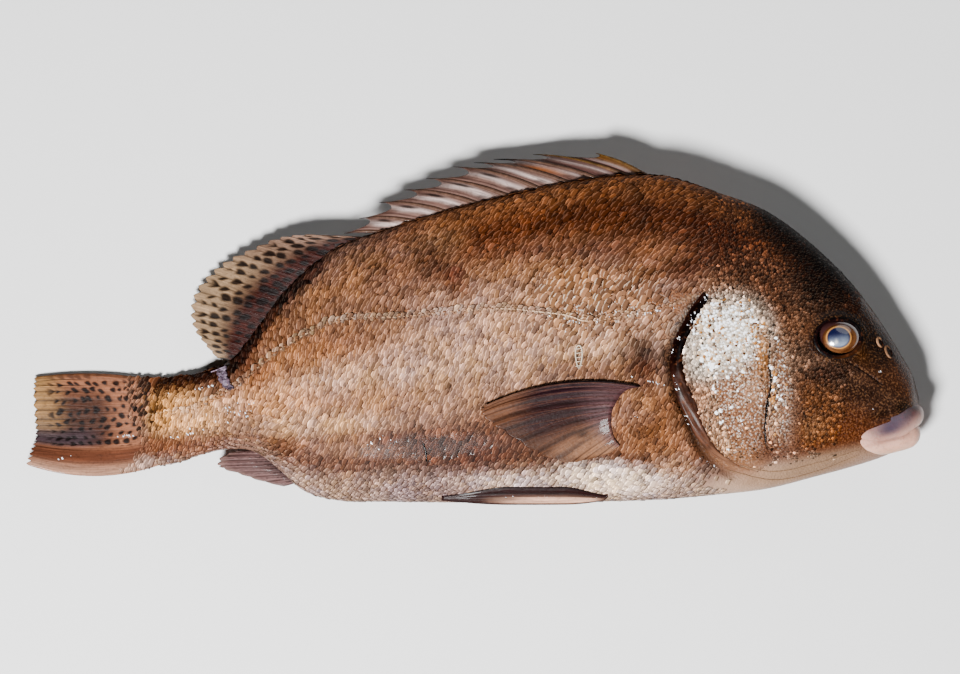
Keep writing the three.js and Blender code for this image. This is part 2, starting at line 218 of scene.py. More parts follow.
def ring_point(x, angle):
    """The skin at a station and an angle round it: 0 on the back, pi on the belly."""
    back, belly, widest, high, low, middle = section(x)
    c, d = np.cos(angle), np.sin(angle)
    up = c > 0
    across = np.where(up, BACK_CURVE[0], BELLY_CURVE[0])
    power = np.where(up, BACK_CURVE[1], BELLY_CURVE[1])
    y = widest + np.where(up, back - widest, widest - belly) * np.sign(c) * np.abs(c) ** (2 / across)
    f = np.abs(d) ** (2 / power)
    out = np.where(d > 0, high, low) * f + (flesh_relief(x, y) + skin_relief(x, y)) * np.minimum(1, 2 * f)
    z = np.maximum(0, middle + np.sign(d) * out)
    return np.stack([x, y, z], -1)


def unit(v):
    return v / np.maximum(np.linalg.norm(v, axis=-1, keepdims=True), 1e-9)


# Colours of the hide: dark head and back, tan flank with a brown lean to it, pale belly, golden tail root and
# silvery gill cover, whose white is partly painted sparkle of light. Each patch is a soft blot at its own
# place on the fish.
def tint(r, g, b):
    """The pigment that looks like this screen colour under the studio light, which lifts shadows."""
    c = np.array([r, g, b]) / 255
    return 0.72 * np.where(c > 0.04045, ((c + 0.055) / 1.055) ** 2.4, c / 12.92) ** 1.75


def paint(tone, mask, colour):
    """Lays a screen colour over a tone, as strongly as the mask says at each point."""
    return tone + mask[..., None] * (tint(*colour) - tone)


def plain(like, r, g, b):
    """One screen colour at every point of an array."""
    return np.zeros(np.shape(like) + (3,)) + tint(r, g, b)


def blot(tone, x, y, cx, cy, rx, ry, lean, colour, strength=1.0, edge=2.0):
    a = math.radians(lean)
    along = (x - cx) * math.cos(a) + (y - cy) * math.sin(a)
    across = (y - cy) * math.cos(a) - (x - cx) * math.sin(a)
    return paint(tone, strength * np.exp(-(np.hypot(along / rx, across / ry) ** edge)), colour)


HEIGHT_TONES = [
    (0.00, (176, 152, 140)), (0.05, (170, 146, 134)), (0.14, (122, 86, 66)), (0.30, (140, 102, 78)),
    (0.46, (188, 156, 134)), (0.60, (172, 132, 104)), (0.72, (156, 120, 97)), (0.86, (122, 80, 52)),
    (1.00, (124, 84, 56)),
]
BLOTS = [
    (73, 55, 42, 14, -6, (112, 70, 42), 0.9, 4), (23, 50, 34, 11, 14, (108, 66, 38), 0.8, 3),
    (-20, 40, 17, 12, 20, (152, 118, 90), 0.7, 3), (-16, 27, 24, 6.5, -45, (92, 54, 32), 0.8, 2),
    (-7, 25, 5, 3.5, 20, (112, 44, 26), 0.8, 3), (84, 62, 7, 16, 24, (52, 26, 14), 0.7, 3),
    (45, 66, 8, 14, 24, (64, 34, 18), 0.6, 3), (-66, 26, 44, 16, 30, (134, 108, 94), 0.75, 3),
    (48, 37, 60, 4, 2, (112, 70, 52), 0.5, 3), (43, 22, 26, 10, 0, (172, 130, 96), 0.8, 3),
    (66, 7, 26, 12, -6, (186, 146, 112), 0.7, 2), (10, 4, 34, 14, 6, (196, 162, 140), 0.7, 2),
    (-12, -8, 26, 16, 0, (188, 156, 136), 0.6, 3), (-62, 5, 30, 20, 20, (148, 112, 86), 0.7, 3),
    (-66, 20, 26, 8, 30, (152, 114, 88), 0.5, 3), (-90, -14, 16, 14, 50, (150, 110, 80), 0.7, 3),
    (-92, -38, 30, 9, -4, (202, 156, 120), 0.8, 3), (-50, -38, 30, 9, 4, (186, 146, 118), 0.6, 3),
    (-36, -56, 30, 8, 22, (106, 68, 46), 0.9, 3), (0, -62, 28, 12, 0, (100, 62, 42), 0.9, 3),
    (-86, -63, 26, 8, -12, (136, 100, 78), 0.7, 3), (-10, -40, 30, 9, 10, (184, 150, 130), 0.5, 3),
    (-78, -49, 38, 6.5, 2, (206, 170, 142), 0.85, 3), (-20, -60, 15, 6, 0, (90, 55, 41), 0.9, 3),
    (-66, -9, 16, 8, 10, (146, 104, 76), 0.6, 3), (-112, -19, 8, 6, -50, (96, 54, 32), 0.8, 3),
    (78, 33, 24, 6, 0, (116, 72, 44), 0.5, 3), (110, 29, 12, 6, 0, (84, 48, 30), 0.8, 3),
    (85, -14, 12, 13, 60, (74, 38, 24), 0.9, 3), (87, -22, 9, 6, -10, (92, 54, 36), 0.8, 3),
    (60, -22, 30, 6, -4, (120, 78, 54), 0.6, 3),
    (103, -6, 4, 13, -24, (120, 64, 40), 0.7, 2), (88, -56, 18, 14, 0, (152, 110, 76), 0.8, 3),
    (83, -41, 10, 8, 0, (176, 136, 110), 0.8, 3), (100, -70, 10, 6, 0, (178, 142, 114), 0.7, 3),
    (43, -79, 46, 6, 0, (202, 182, 172), 0.8, 3), (80, -79, 20, 6, 4, (228, 206, 192), 0.9, 3),
    (-20, -82, 30, 4, 0, (158, 134, 126), 0.7, 3), (140, -76, 30, 6, 14, (206, 184, 166), 0.8, 3),
    (-147, -43, 20, 11, 0, (232, 180, 122), 0.95, 4), (-134, -46, 14, 9, 0, (212, 172, 138), 0.7, 3),
    (-140, -61, 24, 5, 6, (150, 106, 80), 0.8, 3), (-140, -27, 24, 5, 12, (80, 44, 30), 0.85, 3),
    (-166, -44, 9, 10, 0, (96, 56, 36), 0.6, 3),
    (120, 46, 26, 18, -30, (90, 52, 31), 0.9, 3), (113, 36, 14, 8, -20, (92, 56, 36), 0.5, 2),
    (140, 24, 20, 12, -20, (84, 54, 36), 0.8, 3), (98, 24, 16, 8, 0, (96, 56, 36), 0.8, 3),
    (150, 2, 14, 22, 10, (104, 70, 48), 0.8, 3), (170, -36, 24, 20, -10, (116, 80, 50), 0.95, 4),
    (176, -56, 24, 9, 14, (128, 84, 40), 0.85, 3), (153, -34, 7, 26, 8, (172, 142, 124), 0.9, 3),
    (127, -44, 21, 22, 0, (180, 144, 120), 0.9, 4), (124, -3, 22, 17.5, 10, (236, 228, 217), 0.97, 5),
    (118, -17, 11, 8, 30, (228, 218, 206), 0.9, 3), (128, -63, 20, 9, -35, (172, 136, 106), 0.75, 3),
    (143, -11, 4, 15, 0, (196, 148, 88), 0.85, 3), (168, -51, 9, 6, 10, (150, 112, 80), 0.7, 3),
    (168, -70, 34, 6, 15, (172, 150, 130), 0.9, 3),
    (158, 50, 40, 17, -42, (38, 17, 10), 0.95, 4), (176, 22, 22, 24, -45, (36, 16, 10), 0.95, 4),
    (196, -8, 22, 14, -50, (50, 26, 17), 0.95, 4), (205, -34, 17, 12, -20, (70, 38, 24), 0.9, 4),
    (181, -5, 15.5, 13.5, 0, (26, 11, 9), 0.98, 8), (192, -13, 4, 7, 20, (128, 92, 46), 0.6, 2),
    (179, -22, 17, 7, 8, (56, 27, 18), 0.92, 4), (189, -31, 10, 7, -20, (62, 32, 18), 0.8, 3),
    (167, -11, 8, 9, 0, (60, 34, 26), 0.8, 3), (138, -30, 6, 8, 0, (206, 174, 150), 0.6, 3),
    (66, -75, 20, 6.5, -4, (238, 218, 204), 0.9, 3), (98, 18, 7, 5, 0, (176, 140, 118), 0.7, 3),
    (78, 0, 8, 6, 0, (186, 148, 120), 0.6, 3), (-6, 19, 8, 5, -20, (124, 84, 60), 0.7, 3),
    (-106, -26, 10, 8, 40, (150, 106, 76), 0.7, 3), (88, -30, 6, 5, 0, (120, 84, 68), 0.7, 3),
    (-62, -61, 20, 5, 0, (168, 134, 114), 0.6, 3),
    # These two darken the fold over the upper lip, painted shade in the crease.
    (214, -40, 5, 4, 20, (24, 12, 12), 0.9, 3), (202, -43, 7, 2.4, 10, (40, 22, 16), 0.8, 2),
]


def hide_tone(x, y):
    """The hide's colour at x, y on either side, before speckle and scales, with a painted light strip on the
    top of the back and a painted shadow line down the cheek.
    """
    back, belly = np.moveaxis(rib(x), -1, 0)[:2]
    h = np.clip((y - belly) / (back - belly), 0, 1)
    stops = np.array([s for s, _ in HEIGHT_TONES])
    tones = np.array([tint(*c) for _, c in HEIGHT_TONES])
    tone = np.stack([np.interp(h, stops, tones[:, k]) for k in range(3)], -1)
    for cx, cy, rx, ry, lean, colour, strength, edge in BLOTS:
        tone = blot(tone, x, y, cx, cy, rx, ry, lean, colour, strength, edge)
    # Painted light: a lighter strip along the top of the back, lifting the shade that falls there.
    ridge = ramp(h, 0.88, 0.99) * ramp(x, -60, -20) * ramp(146 - x, 0, 20)
    tone = paint(tone, 0.65 * ridge, (166, 118, 82))
    # The scaly sleeve at the foot of the soft dorsal fin
    sleeve = ramp(11 - (back - y), 0, 3) * ramp(x, -128, -118) * ramp(-66 - x, 0, 10)
    tone = paint(tone, 0.85 * sleeve, (80, 44, 32))
    # Painted shadow: a dark line down the cheek along the cheek plate's proud rear edge.
    edge, t = distance_to(CHEEK_EDGE, x, y, 40)
    line = np.exp(-((edge / 0.9) ** 2)) * ramp(t, 0, 0.08) * ramp(1 - t, -0.1, 0.1)
    return paint(tone, 0.9 * line, (26, 10, 8))


def mottle(x, y, size, seed):
    """Soft random patches of about this size, from -1 to 1."""
    grid = np.random.default_rng(seed).uniform(-1, 1, (64, 64))
    i, j = np.floor(x / size).astype(int), np.floor(y / size).astype(int)
    u, v = ramp(x / size - i, 0, 1), ramp(y / size - j, 0, 1)
    near = grid[i % 64, j % 64] * (1 - u) + grid[(i + 1) % 64, j % 64] * u
    far = grid[i % 64, (j + 1) % 64] * (1 - u) + grid[(i + 1) % 64, (j + 1) % 64] * u
    return near * (1 - v) + far * v


def spots(x, y, pitch_x, pitch_y, size, seed, lean=0.0, stretch=1.0):
    """Staggered round spots of uneven size, 1 in a spot and 0 between them."""
    rng = np.random.default_rng(seed)
    jitter = rng.uniform(-1, 1, (64, 64, 3))
    a = math.radians(lean)
    u = (x * math.cos(a) + y * math.sin(a)) / pitch_x
    v = (y * math.cos(a) - x * math.sin(a)) / pitch_y
    mask = np.zeros(np.shape(x))
    row = np.floor(v)
    for dr in (-1, 0, 1):
        r = row + dr
        shift = 0.5 * (r % 2)
        column = np.floor(u - shift)
        for dc in (0, 1):
            c = column + dc
            j = jitter[(r % 64).astype(int), (c % 64).astype(int)]
            cx = c + shift + 0.22 * j[..., 0]
            cy = r + 0.5 + 0.22 * j[..., 1]
            grow = size * (1 + 0.35 * j[..., 2])
            d = np.hypot((u - cx) * pitch_x / stretch, (v - cy) * pitch_y)
            mask = np.maximum(mask, ramp(grow - d, -0.35 * size, 0.35 * size))
    return mask


def hide_spots(x, y):
    """Dark spots: on the dorsal sleeve and on the upper edge and end of the tail root."""
    back = rib(x)[..., 0]
    sleeve = ramp(12 - (back - y), 0, 4) * ramp(x, -128, -120) * ramp(-70 - x, 0, 10)
    tail = ramp(-143 - x, 0, 14) * ramp(y, -60, -48)
    top = ramp(6 - (back - y), 0, 3) * ramp(-112 - x, 0, 10)
    zone = np.maximum(sleeve, np.maximum(tail, top))
    return spots(x, y, 5.2, 4.2, 1.7, 11, 20) * zone


def skin_tone(x, y):
    """The hide's colour with its dark spots, lateral line and the shadow inside the gill slit."""
    slit, t = distance_to(GILL_SLIT, x, y, 40)
    inside = np.exp(-((slit / 2.2) ** 4)) * ramp(t, 0, 0.05) * ramp(1 - t, 0, 0.3)
    tone = paint(hide_tone(x, y), 0.9 * inside, (40, 17, 14))
    far, _ = distance_to(LATERAL_LINE, x, y, 60)
    tone = paint(tone, 0.3 * np.exp(-((far / 0.7) ** 2)), (226, 204, 180))
    return paint(tone, 0.9 * hide_spots(x, y), (40, 18, 10))


class Number:
    """A number inside a finish. Arithmetic on it adds Math nodes."""

    def __init__(self, finish, socket):
        self.finish = finish
        self.socket = socket

    def __add__(self, other):
        return self.finish.maths("ADD", self, other)

    def __sub__(self, other):
        return self.finish.maths("SUBTRACT", self, other)

    def __rsub__(self, other):
        return self.finish.maths("SUBTRACT", other, self)

    def __mul__(self, other):
        return self.finish.maths("MULTIPLY", self, other)

    __radd__ = __add__
    __rmul__ = __mul__

    def ease(self, low, high):
        """0 below low, 1 above high, and smooth between."""
        return self.finish.node(
            "ShaderNodeMapRange", {"interpolation_type": "SMOOTHSTEP"},
            {"Value": self, "From Min": low, "From Max": high},
        ).out("Result")


class Made:
    """A node that a finish has made, whose outputs can be asked for by name."""

    def __init__(self, finish, node):
        self.finish = finish
        self.made = node

    def out(self, name):
        return Number(self.finish, self.made.outputs[name])


class Finish:
    """A material with a Principled surface, wired by expressions."""

    def __init__(self, name, **constants):
        self.material = bpy.data.materials.new(name)
        self.material.use_nodes = True
        self.tree = self.material.node_tree
        self.surface = self.tree.nodes["Principled BSDF"]
        for socket, value in constants.items():
            self.surface.inputs[socket.replace("_", " ")].default_value = value

    def put(self, value, socket):
        if isinstance(value, Number):
            self.tree.links.new(value.socket, socket)
        else:
            socket.default_value = value

    def node(self, kind, settings, sockets):
        made = self.tree.nodes.new(kind)
        for name, value in settings.items():
            setattr(made, name, value)
        for name, value in sockets.items():
            self.put(value, made.inputs[name])
        return Made(self, made)

    def maths(self, operation, *values):
        made = self.node("ShaderNodeMath", {"operation": operation}, dict(enumerate(values)))
        return made.out("Value")

    def mix(self, factor, a, b, how="MIX"):
        made = self.node("ShaderNodeMix", {"data_type": "RGBA", "blend_type": how}, {0: factor, 6: a, 7: b})
        return Number(self, made.made.outputs[2])

    def place(self, stretch=(1, 1, 1), turn=0.0):
        where = self.node("ShaderNodeTexCoord", {}, {}).out("Object")
        return self.node(
            "ShaderNodeMapping", {},
            {"Vector": where, "Scale": stretch, "Rotation": (0, 0, math.radians(turn))},
        ).out("Vector")

    def noise(self, scale, where, detail=3.0, rough=0.55):
        sockets = {"Vector": where, "Scale": scale, "Detail": detail, "Roughness": rough}
        return self.node("ShaderNodeTexNoise", {}, sockets).out("Fac")

    def cells(self, scale, where, feature="F1", out="Distance"):
        sockets = {"Vector": where, "Scale": scale}
        return self.node("ShaderNodeTexVoronoi", {"feature": feature}, sockets).out(out)

    def stored(self, name, out="Color"):
        return self.node("ShaderNodeAttribute", {"attribute_name": name}, {}).out(out)

    def bumped(self, height, depth, strength=1.0):
        sockets = {"Height": height, "Distance": depth, "Strength": strength}
        self.wear(Normal=self.node("ShaderNodeBump", {}, sockets).out("Normal"))

    def wear(self, **values):
        for name, value in values.items():
            self.put(value, self.surface.inputs[name.replace("_", " ")])


def rgb(*colour):
    return (*tint(*colour), 1.0)


def hide_finish():
    """Wet hide: the blotted tone broken up by fine speckle, silvery white flecks that are partly painted
    sparkle of light, and tiny scale bumps.
    """
    finish = Finish("wet_hide", Coat_Weight=0.18, Coat_Roughness=0.08, Coat_IOR=1.33, Specular_IOR_Level=0.05)
    where = finish.place()
    tone = finish.stored("tone")
    silver_and_sparkle = finish.stored("silver_and_sparkle", "Fac")
    grain = finish.noise(1100, where, 2.0)
    fleck = finish.cells(800, where)
    blotchy = finish.noise(60, where, 4.0)
    speckle = finish.stored("speckle", "Fac")
    dark = finish.mix(0.55 * speckle * grain.ease(0.58, 0.4), tone, rgb(24, 10, 7))
    light = finish.mix(0.12 * speckle * grain.ease(0.5, 0.7), dark, rgb(226, 186, 146))
    uneven = finish.mix(0.25 * blotchy.ease(0.4, 0.65), light, finish.mix(0.5, light, rgb(70, 36, 20)))
    bright = finish.mix(silver_and_sparkle * fleck.ease(0.55, 0.2), uneven, rgb(250, 246, 240))
    finish.wear(Base_Color=bright)
    finish.wear(Roughness=0.34 - 0.12 * silver_and_sparkle + 0.18 * grain)
    finish.bumped(fleck * 0.8 + grain * 0.5, 0.0006, 0.7)
    return finish.material


def lattice(rows, columns, round_rows=False):
    """Quads over a grid of points, row after row, which may close up along each row."""
    r, c = np.meshgrid(np.arange(rows - 1), np.arange(columns if round_rows else columns - 1), indexing="ij")
    a = r * columns + c
    b = r * columns + (c + 1) % columns
    return np.stack([a, b, b + columns, a + columns], -1).reshape(-1, 4)


def closed_rings(rings):
    """Points, faces and baking map of a form with a cap on its first and on its last ring."""
    rows, columns = rings.shape[:2]
    points = np.vstack([rings.reshape(-1, 3), rings[0].mean(0), rings[-1].mean(0)])
    k = np.arange(columns)
    after = (k + 1) % columns
    last = (rows - 1) * columns
    first_cap = np.stack([np.full(columns, len(points) - 2), after, k], -1)
    last_cap = np.stack([np.full(columns, len(points) - 1), last + k, last + after], -1)
    r, c = np.meshgrid(np.arange(rows - 1), k, indexing="ij")
    corners = np.stack([c, r, c + 1, r, c + 1, r + 1, c, r + 1], -1).reshape(-1, 2)
    wall = corners / np.array([columns, rows - 1]) * np.array([1, 0.94]) + np.array([0, 0.03])
    low = np.stack([k + 0.5, 0 * k, k + 1, 0 * k + 0.03, k, 0 * k + 0.03], -1).reshape(-1, 2)
    high = np.stack([k + 0.5, 0 * k + 1, k, 0 * k + 0.97, k + 1, 0 * k + 0.97], -1).reshape(-1, 2)
    caps = np.vstack([low, high]) / np.array([columns, 1])
    return points, [*lattice(rows, columns, True), *first_cap, *last_cap], np.vstack([wall, caps])


def bring_in(name, data):
    """Puts a mesh, a light or a camera in the scene."""
    piece = bpy.data.objects.new(name, data)
    bpy.context.scene.collection.objects.link(piece)
    return piece


def adopt(name, mesh, node):
    """Makes a mesh a finished piece that stands for a node."""
    piece = bring_in(name, mesh)
    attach(piece, "root")
    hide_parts(node)
    return piece


def store(mesh, key, values):
    """Keeps a number, a vector or a colour for every point of a mesh."""
    values = np.asarray(values, np.float32)
    if values.ndim == 1:
        mesh.attributes.new(key, "FLOAT", "POINT").data.foreach_set("value", values)
    elif key.startswith("seat_") or key == "lie":
        mesh.attributes.new(key, "FLOAT_VECTOR", "POINT").data.foreach_set("vector", values.ravel())
    else:
        colour = np.c_[values, np.ones(len(values), np.float32)].astype(np.float32)
        mesh.attributes.new(key, "FLOAT_COLOR", "POINT").data.foreach_set("color", colour.ravel())


def new_piece(name, points, faces, material, node, stored, uv):
    mesh = bpy.data.meshes.new(name)
    places = (np.asarray(points, float).reshape(-1, 3) + TO_FRAME) * MM
    mesh.from_pydata(places.tolist(), [], [list(map(int, f)) for f in faces])
    for key, values in stored.items():
        store(mesh, key, values)
    mesh.uv_layers.new(name="OFBake").data.foreach_set("uv", np.asarray(uv, np.float32).ravel())
    mesh.polygons.foreach_set("use_smooth", [True] * len(mesh.polygons))
    mesh.materials.append(material)
    return adopt(name, mesh, node)


TRUNK_STATIONS = 110
HEAD_STATIONS = 140
SHOWN_GIRTH = 240
LAIN_GIRTH = 100
HEAD_START = 95.0
HIDE = hide_finish()


# Where hide and scales go silvery white and glossy: the gill cover's own silvery sheen, whose white is partly
# painted sparkle of light, and more.
def silver_mask(x, y):
    cover = np.exp(-(np.hypot((x - 126) / 19, (y + 3) / 18) ** 4)) * ramp(x, 96, 106)
    lower = 0.38 * np.exp(-(np.hypot((x - 131) / 15, (y + 37) / 26) ** 4))
    nape = 0.42 * np.exp(-(np.hypot((x - 152) / 6, (y + 30) / 26) ** 4))
    # A painted highlight band on the flank above the pectoral fin.
    flank = 0.4 * np.exp(-(np.hypot((x - 62) / 32, (y - 10) / 17) ** 3))
    return np.clip(cover + lower + nape + flank, 0, 1)


def speckle_mask(x, y):
    """How far dark flecks break up the hide: hardly on belly and throat, fully on the head."""
    back, belly = np.moveaxis(rib(x), -1, 0)[:2]
    throat = ramp(y, -74 + 0.16 * (x - 130), -60 + 0.16 * (x - 130))
    flank = ramp((y - belly) / (back - belly), 0.05, 0.4)
    return np.clip(0.12 + 0.88 * np.where(x > 120, throat, flank), 0, 1)


def body_skin():
    tail = HEAD_START - (HEAD_START - TAIL_ROOT) * np.linspace(1, 0, TRUNK_STATIONS, endpoint=False)
    head = HEAD_START + (SNOUT - HEAD_START) * np.sin(np.linspace(0, 1, HEAD_STATIONS) * math.pi / 2)
    shown = np.linspace(0, math.pi, SHOWN_GIRTH, endpoint=False)
    lain = np.linspace(math.pi, 2 * math.pi, LAIN_GIRTH, endpoint=False)
    x, angle = np.meshgrid(np.r_[tail, head], np.r_[shown, lain], indexing="ij")
    points, faces, uv = closed_rings(ring_point(x, angle))
    x, y = points[:, 0], points[:, 1]
    stored = {"tone": skin_tone(x, y), "silver_and_sparkle": silver_mask(x, y), "speckle": speckle_mask(x, y)}
    new_piece("body_skin", points, faces, HIDE, "fish", stored, uv)


body_skin()


# Bony plates: the gill cover and the cheek plate before it, thin shields of bone under wet skin.
# Each is hinged at its front edge and stands proud of the shoulder along its free rear edge.
def taper(t):
    return np.sqrt(np.maximum(0, 1 - t * t))


def zigzag(t):
    """0 in the middle of each whole step of t and 1 where steps meet."""
    return np.abs(t % 1 - 0.5) * 2


class Plate:
    """A plate between a front and a rear outline, both from the top down."""

    def __init__(self, front, rear, proud, thick, teeth=0.0):
        self.front = smooth_line(front)
        self.rear = smooth_line(rear)
        self.proud = proud
        self.thick = thick
        self.teeth = teeth

    def rise(self, u, v):
        """How proud the plate stands, from u 0 at the front to 1 at the rear and v down it."""
        return self.proud * np.minimum(1, 1.6 * u) * taper(2 * v - 1) ** 0.7

    def lay(self, name, side, columns, rows):
        v, u = np.meshgrid(np.linspace(0, 1, rows), np.linspace(0, 1, columns), indexing="ij")
        front, rear = self.front(v), self.rear(v)
        saw = self.teeth * ramp(v, 0.3, 0.6) * zigzag(v * 34) * ramp(u, 0.9, 1)
        p = front + (rear - front) * u[..., None]
        x, y = p[..., 0] - saw, p[..., 1]
        edge = taper(2 * np.maximum(u, 0.5) - 1) * taper(2 * v - 1) ** 0.3
        thick = self.thick * (0.25 + 0.75 * edge)
        middle = skin(x, y, side, self.rise(u, v) - thick / 2, 0.85)
        tone = hide_tone(x, y)
        # Painted shade: the free rear edge is darkened where it stands proud over what lies behind it.
        rim = ramp(u, 0.965, 0.995)
        tone = paint(tone, 0.7 * rim, (78, 46, 32))
        stored = {"tone": tone, "silver_and_sparkle": silver_mask(x, y), "speckle": speckle_mask(x, y)}
        piece = sheet_piece(name, middle, thick, (0, 0, side), HIDE, stored)
        PLATE_FORMS[side].append(BVHTree.FromPolygons(
            [v.co.copy() for v in piece.data.vertices], [tuple(p.vertices) for p in piece.data.polygons],
        ))


def sheet_piece(name, middle, thick, facing, material, stored, node="fish"):
    """A closed sheet about a grid of points, with its values stored on both faces."""
    rows, columns = middle.shape[:2]
    across = np.gradient(middle, axis=1)
    along = np.gradient(middle, axis=0)
    normal = np.cross(across, along)
    turn = np.sign((normal * np.array(facing, float)).sum())
    normal = unit(normal) * turn
    half = normal * thick[..., None] / 2
    points = np.vstack([(middle + half).reshape(-1, 3), (middle - half).reshape(-1, 3)])
    total = rows * columns
    quads = lattice(rows, columns)
    under = quads[:, ::-1] + total
    k = np.arange(columns - 1)
    r = np.arange(rows - 1) * columns
    end = (rows - 1) * columns
    start = np.r_[k, r + columns - 1, end + k[::-1] + 1, r[::-1] + columns]
    stop = np.r_[k + 1, r + 2 * columns - 1, end + k[::-1], r[::-1]]
    rim = np.stack([stop, start, start + total, stop + total], -1)
    faces = np.vstack([quads, under, rim])
    if turn < 0:
        faces = faces[:, ::-1]
    each = np.arange(total)
    place = np.stack([each % columns / (columns - 1), each // columns / (rows - 1)], -1)
    place = place * np.array([0.47, 1])
    place = np.vstack([place, place + np.array([0.53, 0])])
    uv = place[faces.ravel()]
    edge = np.arange(len(rim)) / len(rim)
    strip = np.stack([0.49 + 0 * edge, edge, 0.49 + 0 * edge, edge + 1 / len(rim),
                      0.51 + 0 * edge, edge + 1 / len(rim), 0.51 + 0 * edge, edge], -1)
    uv[-4 * len(rim):] = strip.reshape(-1, 2)
    both = {}
    for key, values in stored.items():
        both[key] = np.concatenate([values.reshape(total, *values.shape[2:])] * 2)
    return new_piece(name, points, faces, material, node, both, uv)


GILL_COVER = Plate(
    [(136, 12), (147, -7), (147.5, -28), (145, -46), (145, -58), (149, -66)],
    [(117, 14.7), (111.6, 6.6), (107.6, -1.8), (104.3, -9.8), (103.9, -17), (105, -25), (110, -37),
     (114, -49), (121, -60.5), (130, -67), (141, -72)],
    2.3, 1.6,
)
CHEEK_PLATE = Plate(
    [(152, -2), (156.1, -21), (159.4, -34), (163.1, -44.7), (164.6, -56), (158, -62)],
    CHEEK_EDGE(np.linspace(0, 1, 12)),
    0.9, 0.9, 0.5,
)
SIDES = ((1, "right"), (-1, "left"))
PLATE_FORMS = {1: [], -1: []}
for side, hand in SIDES:
    GILL_COVER.lay("gill_cover_" + hand, side, 44, 110)
    CHEEK_PLATE.lay("cheek_plate_" + hand, side, 24, 140)


# Gill flap: the dark, slick, red-brown skin that lines the slit behind the cover and swells out of
# it a little. It narrows at the top and fades to brown gold towards the throat.
def slick_finish():
    finish = Finish("slick_membrane", Coat_Weight=0.04, Coat_Roughness=0.2, Specular_IOR_Level=0.04)
    where = finish.place()
    grain = finish.noise(420, where, 3.0)
    swirl = finish.noise(90, where, 2.0)
    tone = finish.stored("tone")
    worn = finish.mix(0.6 * swirl.ease(0.45, 0.7), tone, rgb(34, 14, 12))
    finish.wear(Base_Color=finish.mix(0.25 * grain.ease(0.55, 0.75), worn, rgb(180, 130, 96)))
    finish.wear(Roughness=0.4 + 0.2 * grain)
    finish.bumped(grain + swirl * 1.5, 0.0007, 0.8)
    return finish.material


SLICK = slick_finish()


def gill_flap(side, name):
    t, s = np.meshgrid(np.linspace(0.01, 0.97, 110), np.linspace(0, 1, 14), indexing="ij")
    edge = GILL_COVER.rear(t)
    slit = GILL_SLIT(t)
    width = (s * 1.25 - 0.1) * (1 - 0.75 * ramp(t, 0.62, 0.97))
    p = edge + (slit - edge) * width[..., None]
    x, y = p[..., 0], p[..., 1]
    swell = 1.5 * np.sin(math.pi * np.clip(s, 0, 1)) ** 1.1 * taper(2 * t - 1) ** 0.4
    swell = swell * (1 - 0.8 * ramp(t, 0.4, 0.6)) - 0.9 * np.abs(2 * s - 1) ** 8 - 0.5 * ramp(t, 0.8, 0.97)
    swell = swell + 0.25 * np.sin(9 * s + 14 * t) * np.sin(24 * t + 2 * s) * taper(2 * s - 1)
    level = -0.9 * ramp(t, 0.38, 0.52) * furrow(GILL_SLIT, x, y, SLIT_WIDTH, SLIT_DEPTH)
    middle = skin(x, y, side, swell + level, 0.6)
    tone = paint(plain(x, 40, 15, 14), ramp(t, 0.4, 0.62), (116, 84, 66))
    tone = paint(tone, ramp(t, 0.7, 0.92), (170, 138, 116))
    fold = np.sin(17 * s + 9 * t) * np.sin(5 * s + 31 * t)
    tone = paint(tone, 0.4 * ramp(t, 0.4, 0.6) * ramp(fold, 0, 1), (156, 126, 112))
    tone = paint(tone, 0.5 * ramp(t, 0.45, 0.6) * ramp(-fold, 0, 1), (84, 50, 36))
    # Painted shade: a dark line along the cover's edge, where the flap runs in under it.
    tone = paint(tone, 0.8 * np.exp(-((s - 0.08) / 0.1) ** 2), (24, 10, 9))
    tone = paint(tone, (0.8 - 0.6 * ramp(t, 0.45, 0.6)) * np.exp(-((s - 1) / 0.3) ** 2), (90, 54, 42))
    sheet_piece(name, middle, np.full(x.shape, 0.3), (0, 0, side), SLICK, {"tone": tone})


gill_flap(1, "gill_flap_right")
gill_flap(-1, "gill_flap_left")


# Scales: small overlapping plates, each buried at the front and free along its rear rim, in
# staggered rows that lean up towards the tail. They are finer on the nape and the head.
SCALE_RIM_TURNS = range(-99, 100, 33)
SCALE_FACES = 12
SEAT_CLEAR_OF_SLAB = 1.1


def scale_form():
    """One scale, a unit long and wide: a low closed shell whose rear rim stands clear of the skin."""
    points = []
    for turn in SCALE_RIM_TURNS:
        a = math.radians(turn)
        out = math.copysign(abs(math.cos(a)) ** 0.6, math.cos(a))
        points.append((0.35 + 0.65 * out, 0.5 * math.sin(a), 0.02 + 0.11 * math.cos(a)))
    count = len(points)
    points.append((0.5, 0, 0.13))
    top = [(k, (k + 1) % count, count) for k in range(count)]
    base = [(0, k + 1, k) for k in range(1, count - 1)]
    mesh = bpy.data.meshes.new("scale_form")
    mesh.from_pydata(points, [], top + base)
    store(mesh, "rim", [max(0, math.cos(math.radians(turn))) ** 0.3 for turn in SCALE_RIM_TURNS] + [0.45])
    flat = np.array([points[i][:2] for face in top + base for i in face])
    flat = flat * np.array([0.5, 1]) + np.array([0.2, 0.5])
    flat[len(top) * 3:, 0] += 0.25
    mesh.uv_layers.new(name="OFBake").data.foreach_set("uv", flat.astype(np.float32).ravel())
    return bring_in("scale_form", mesh)


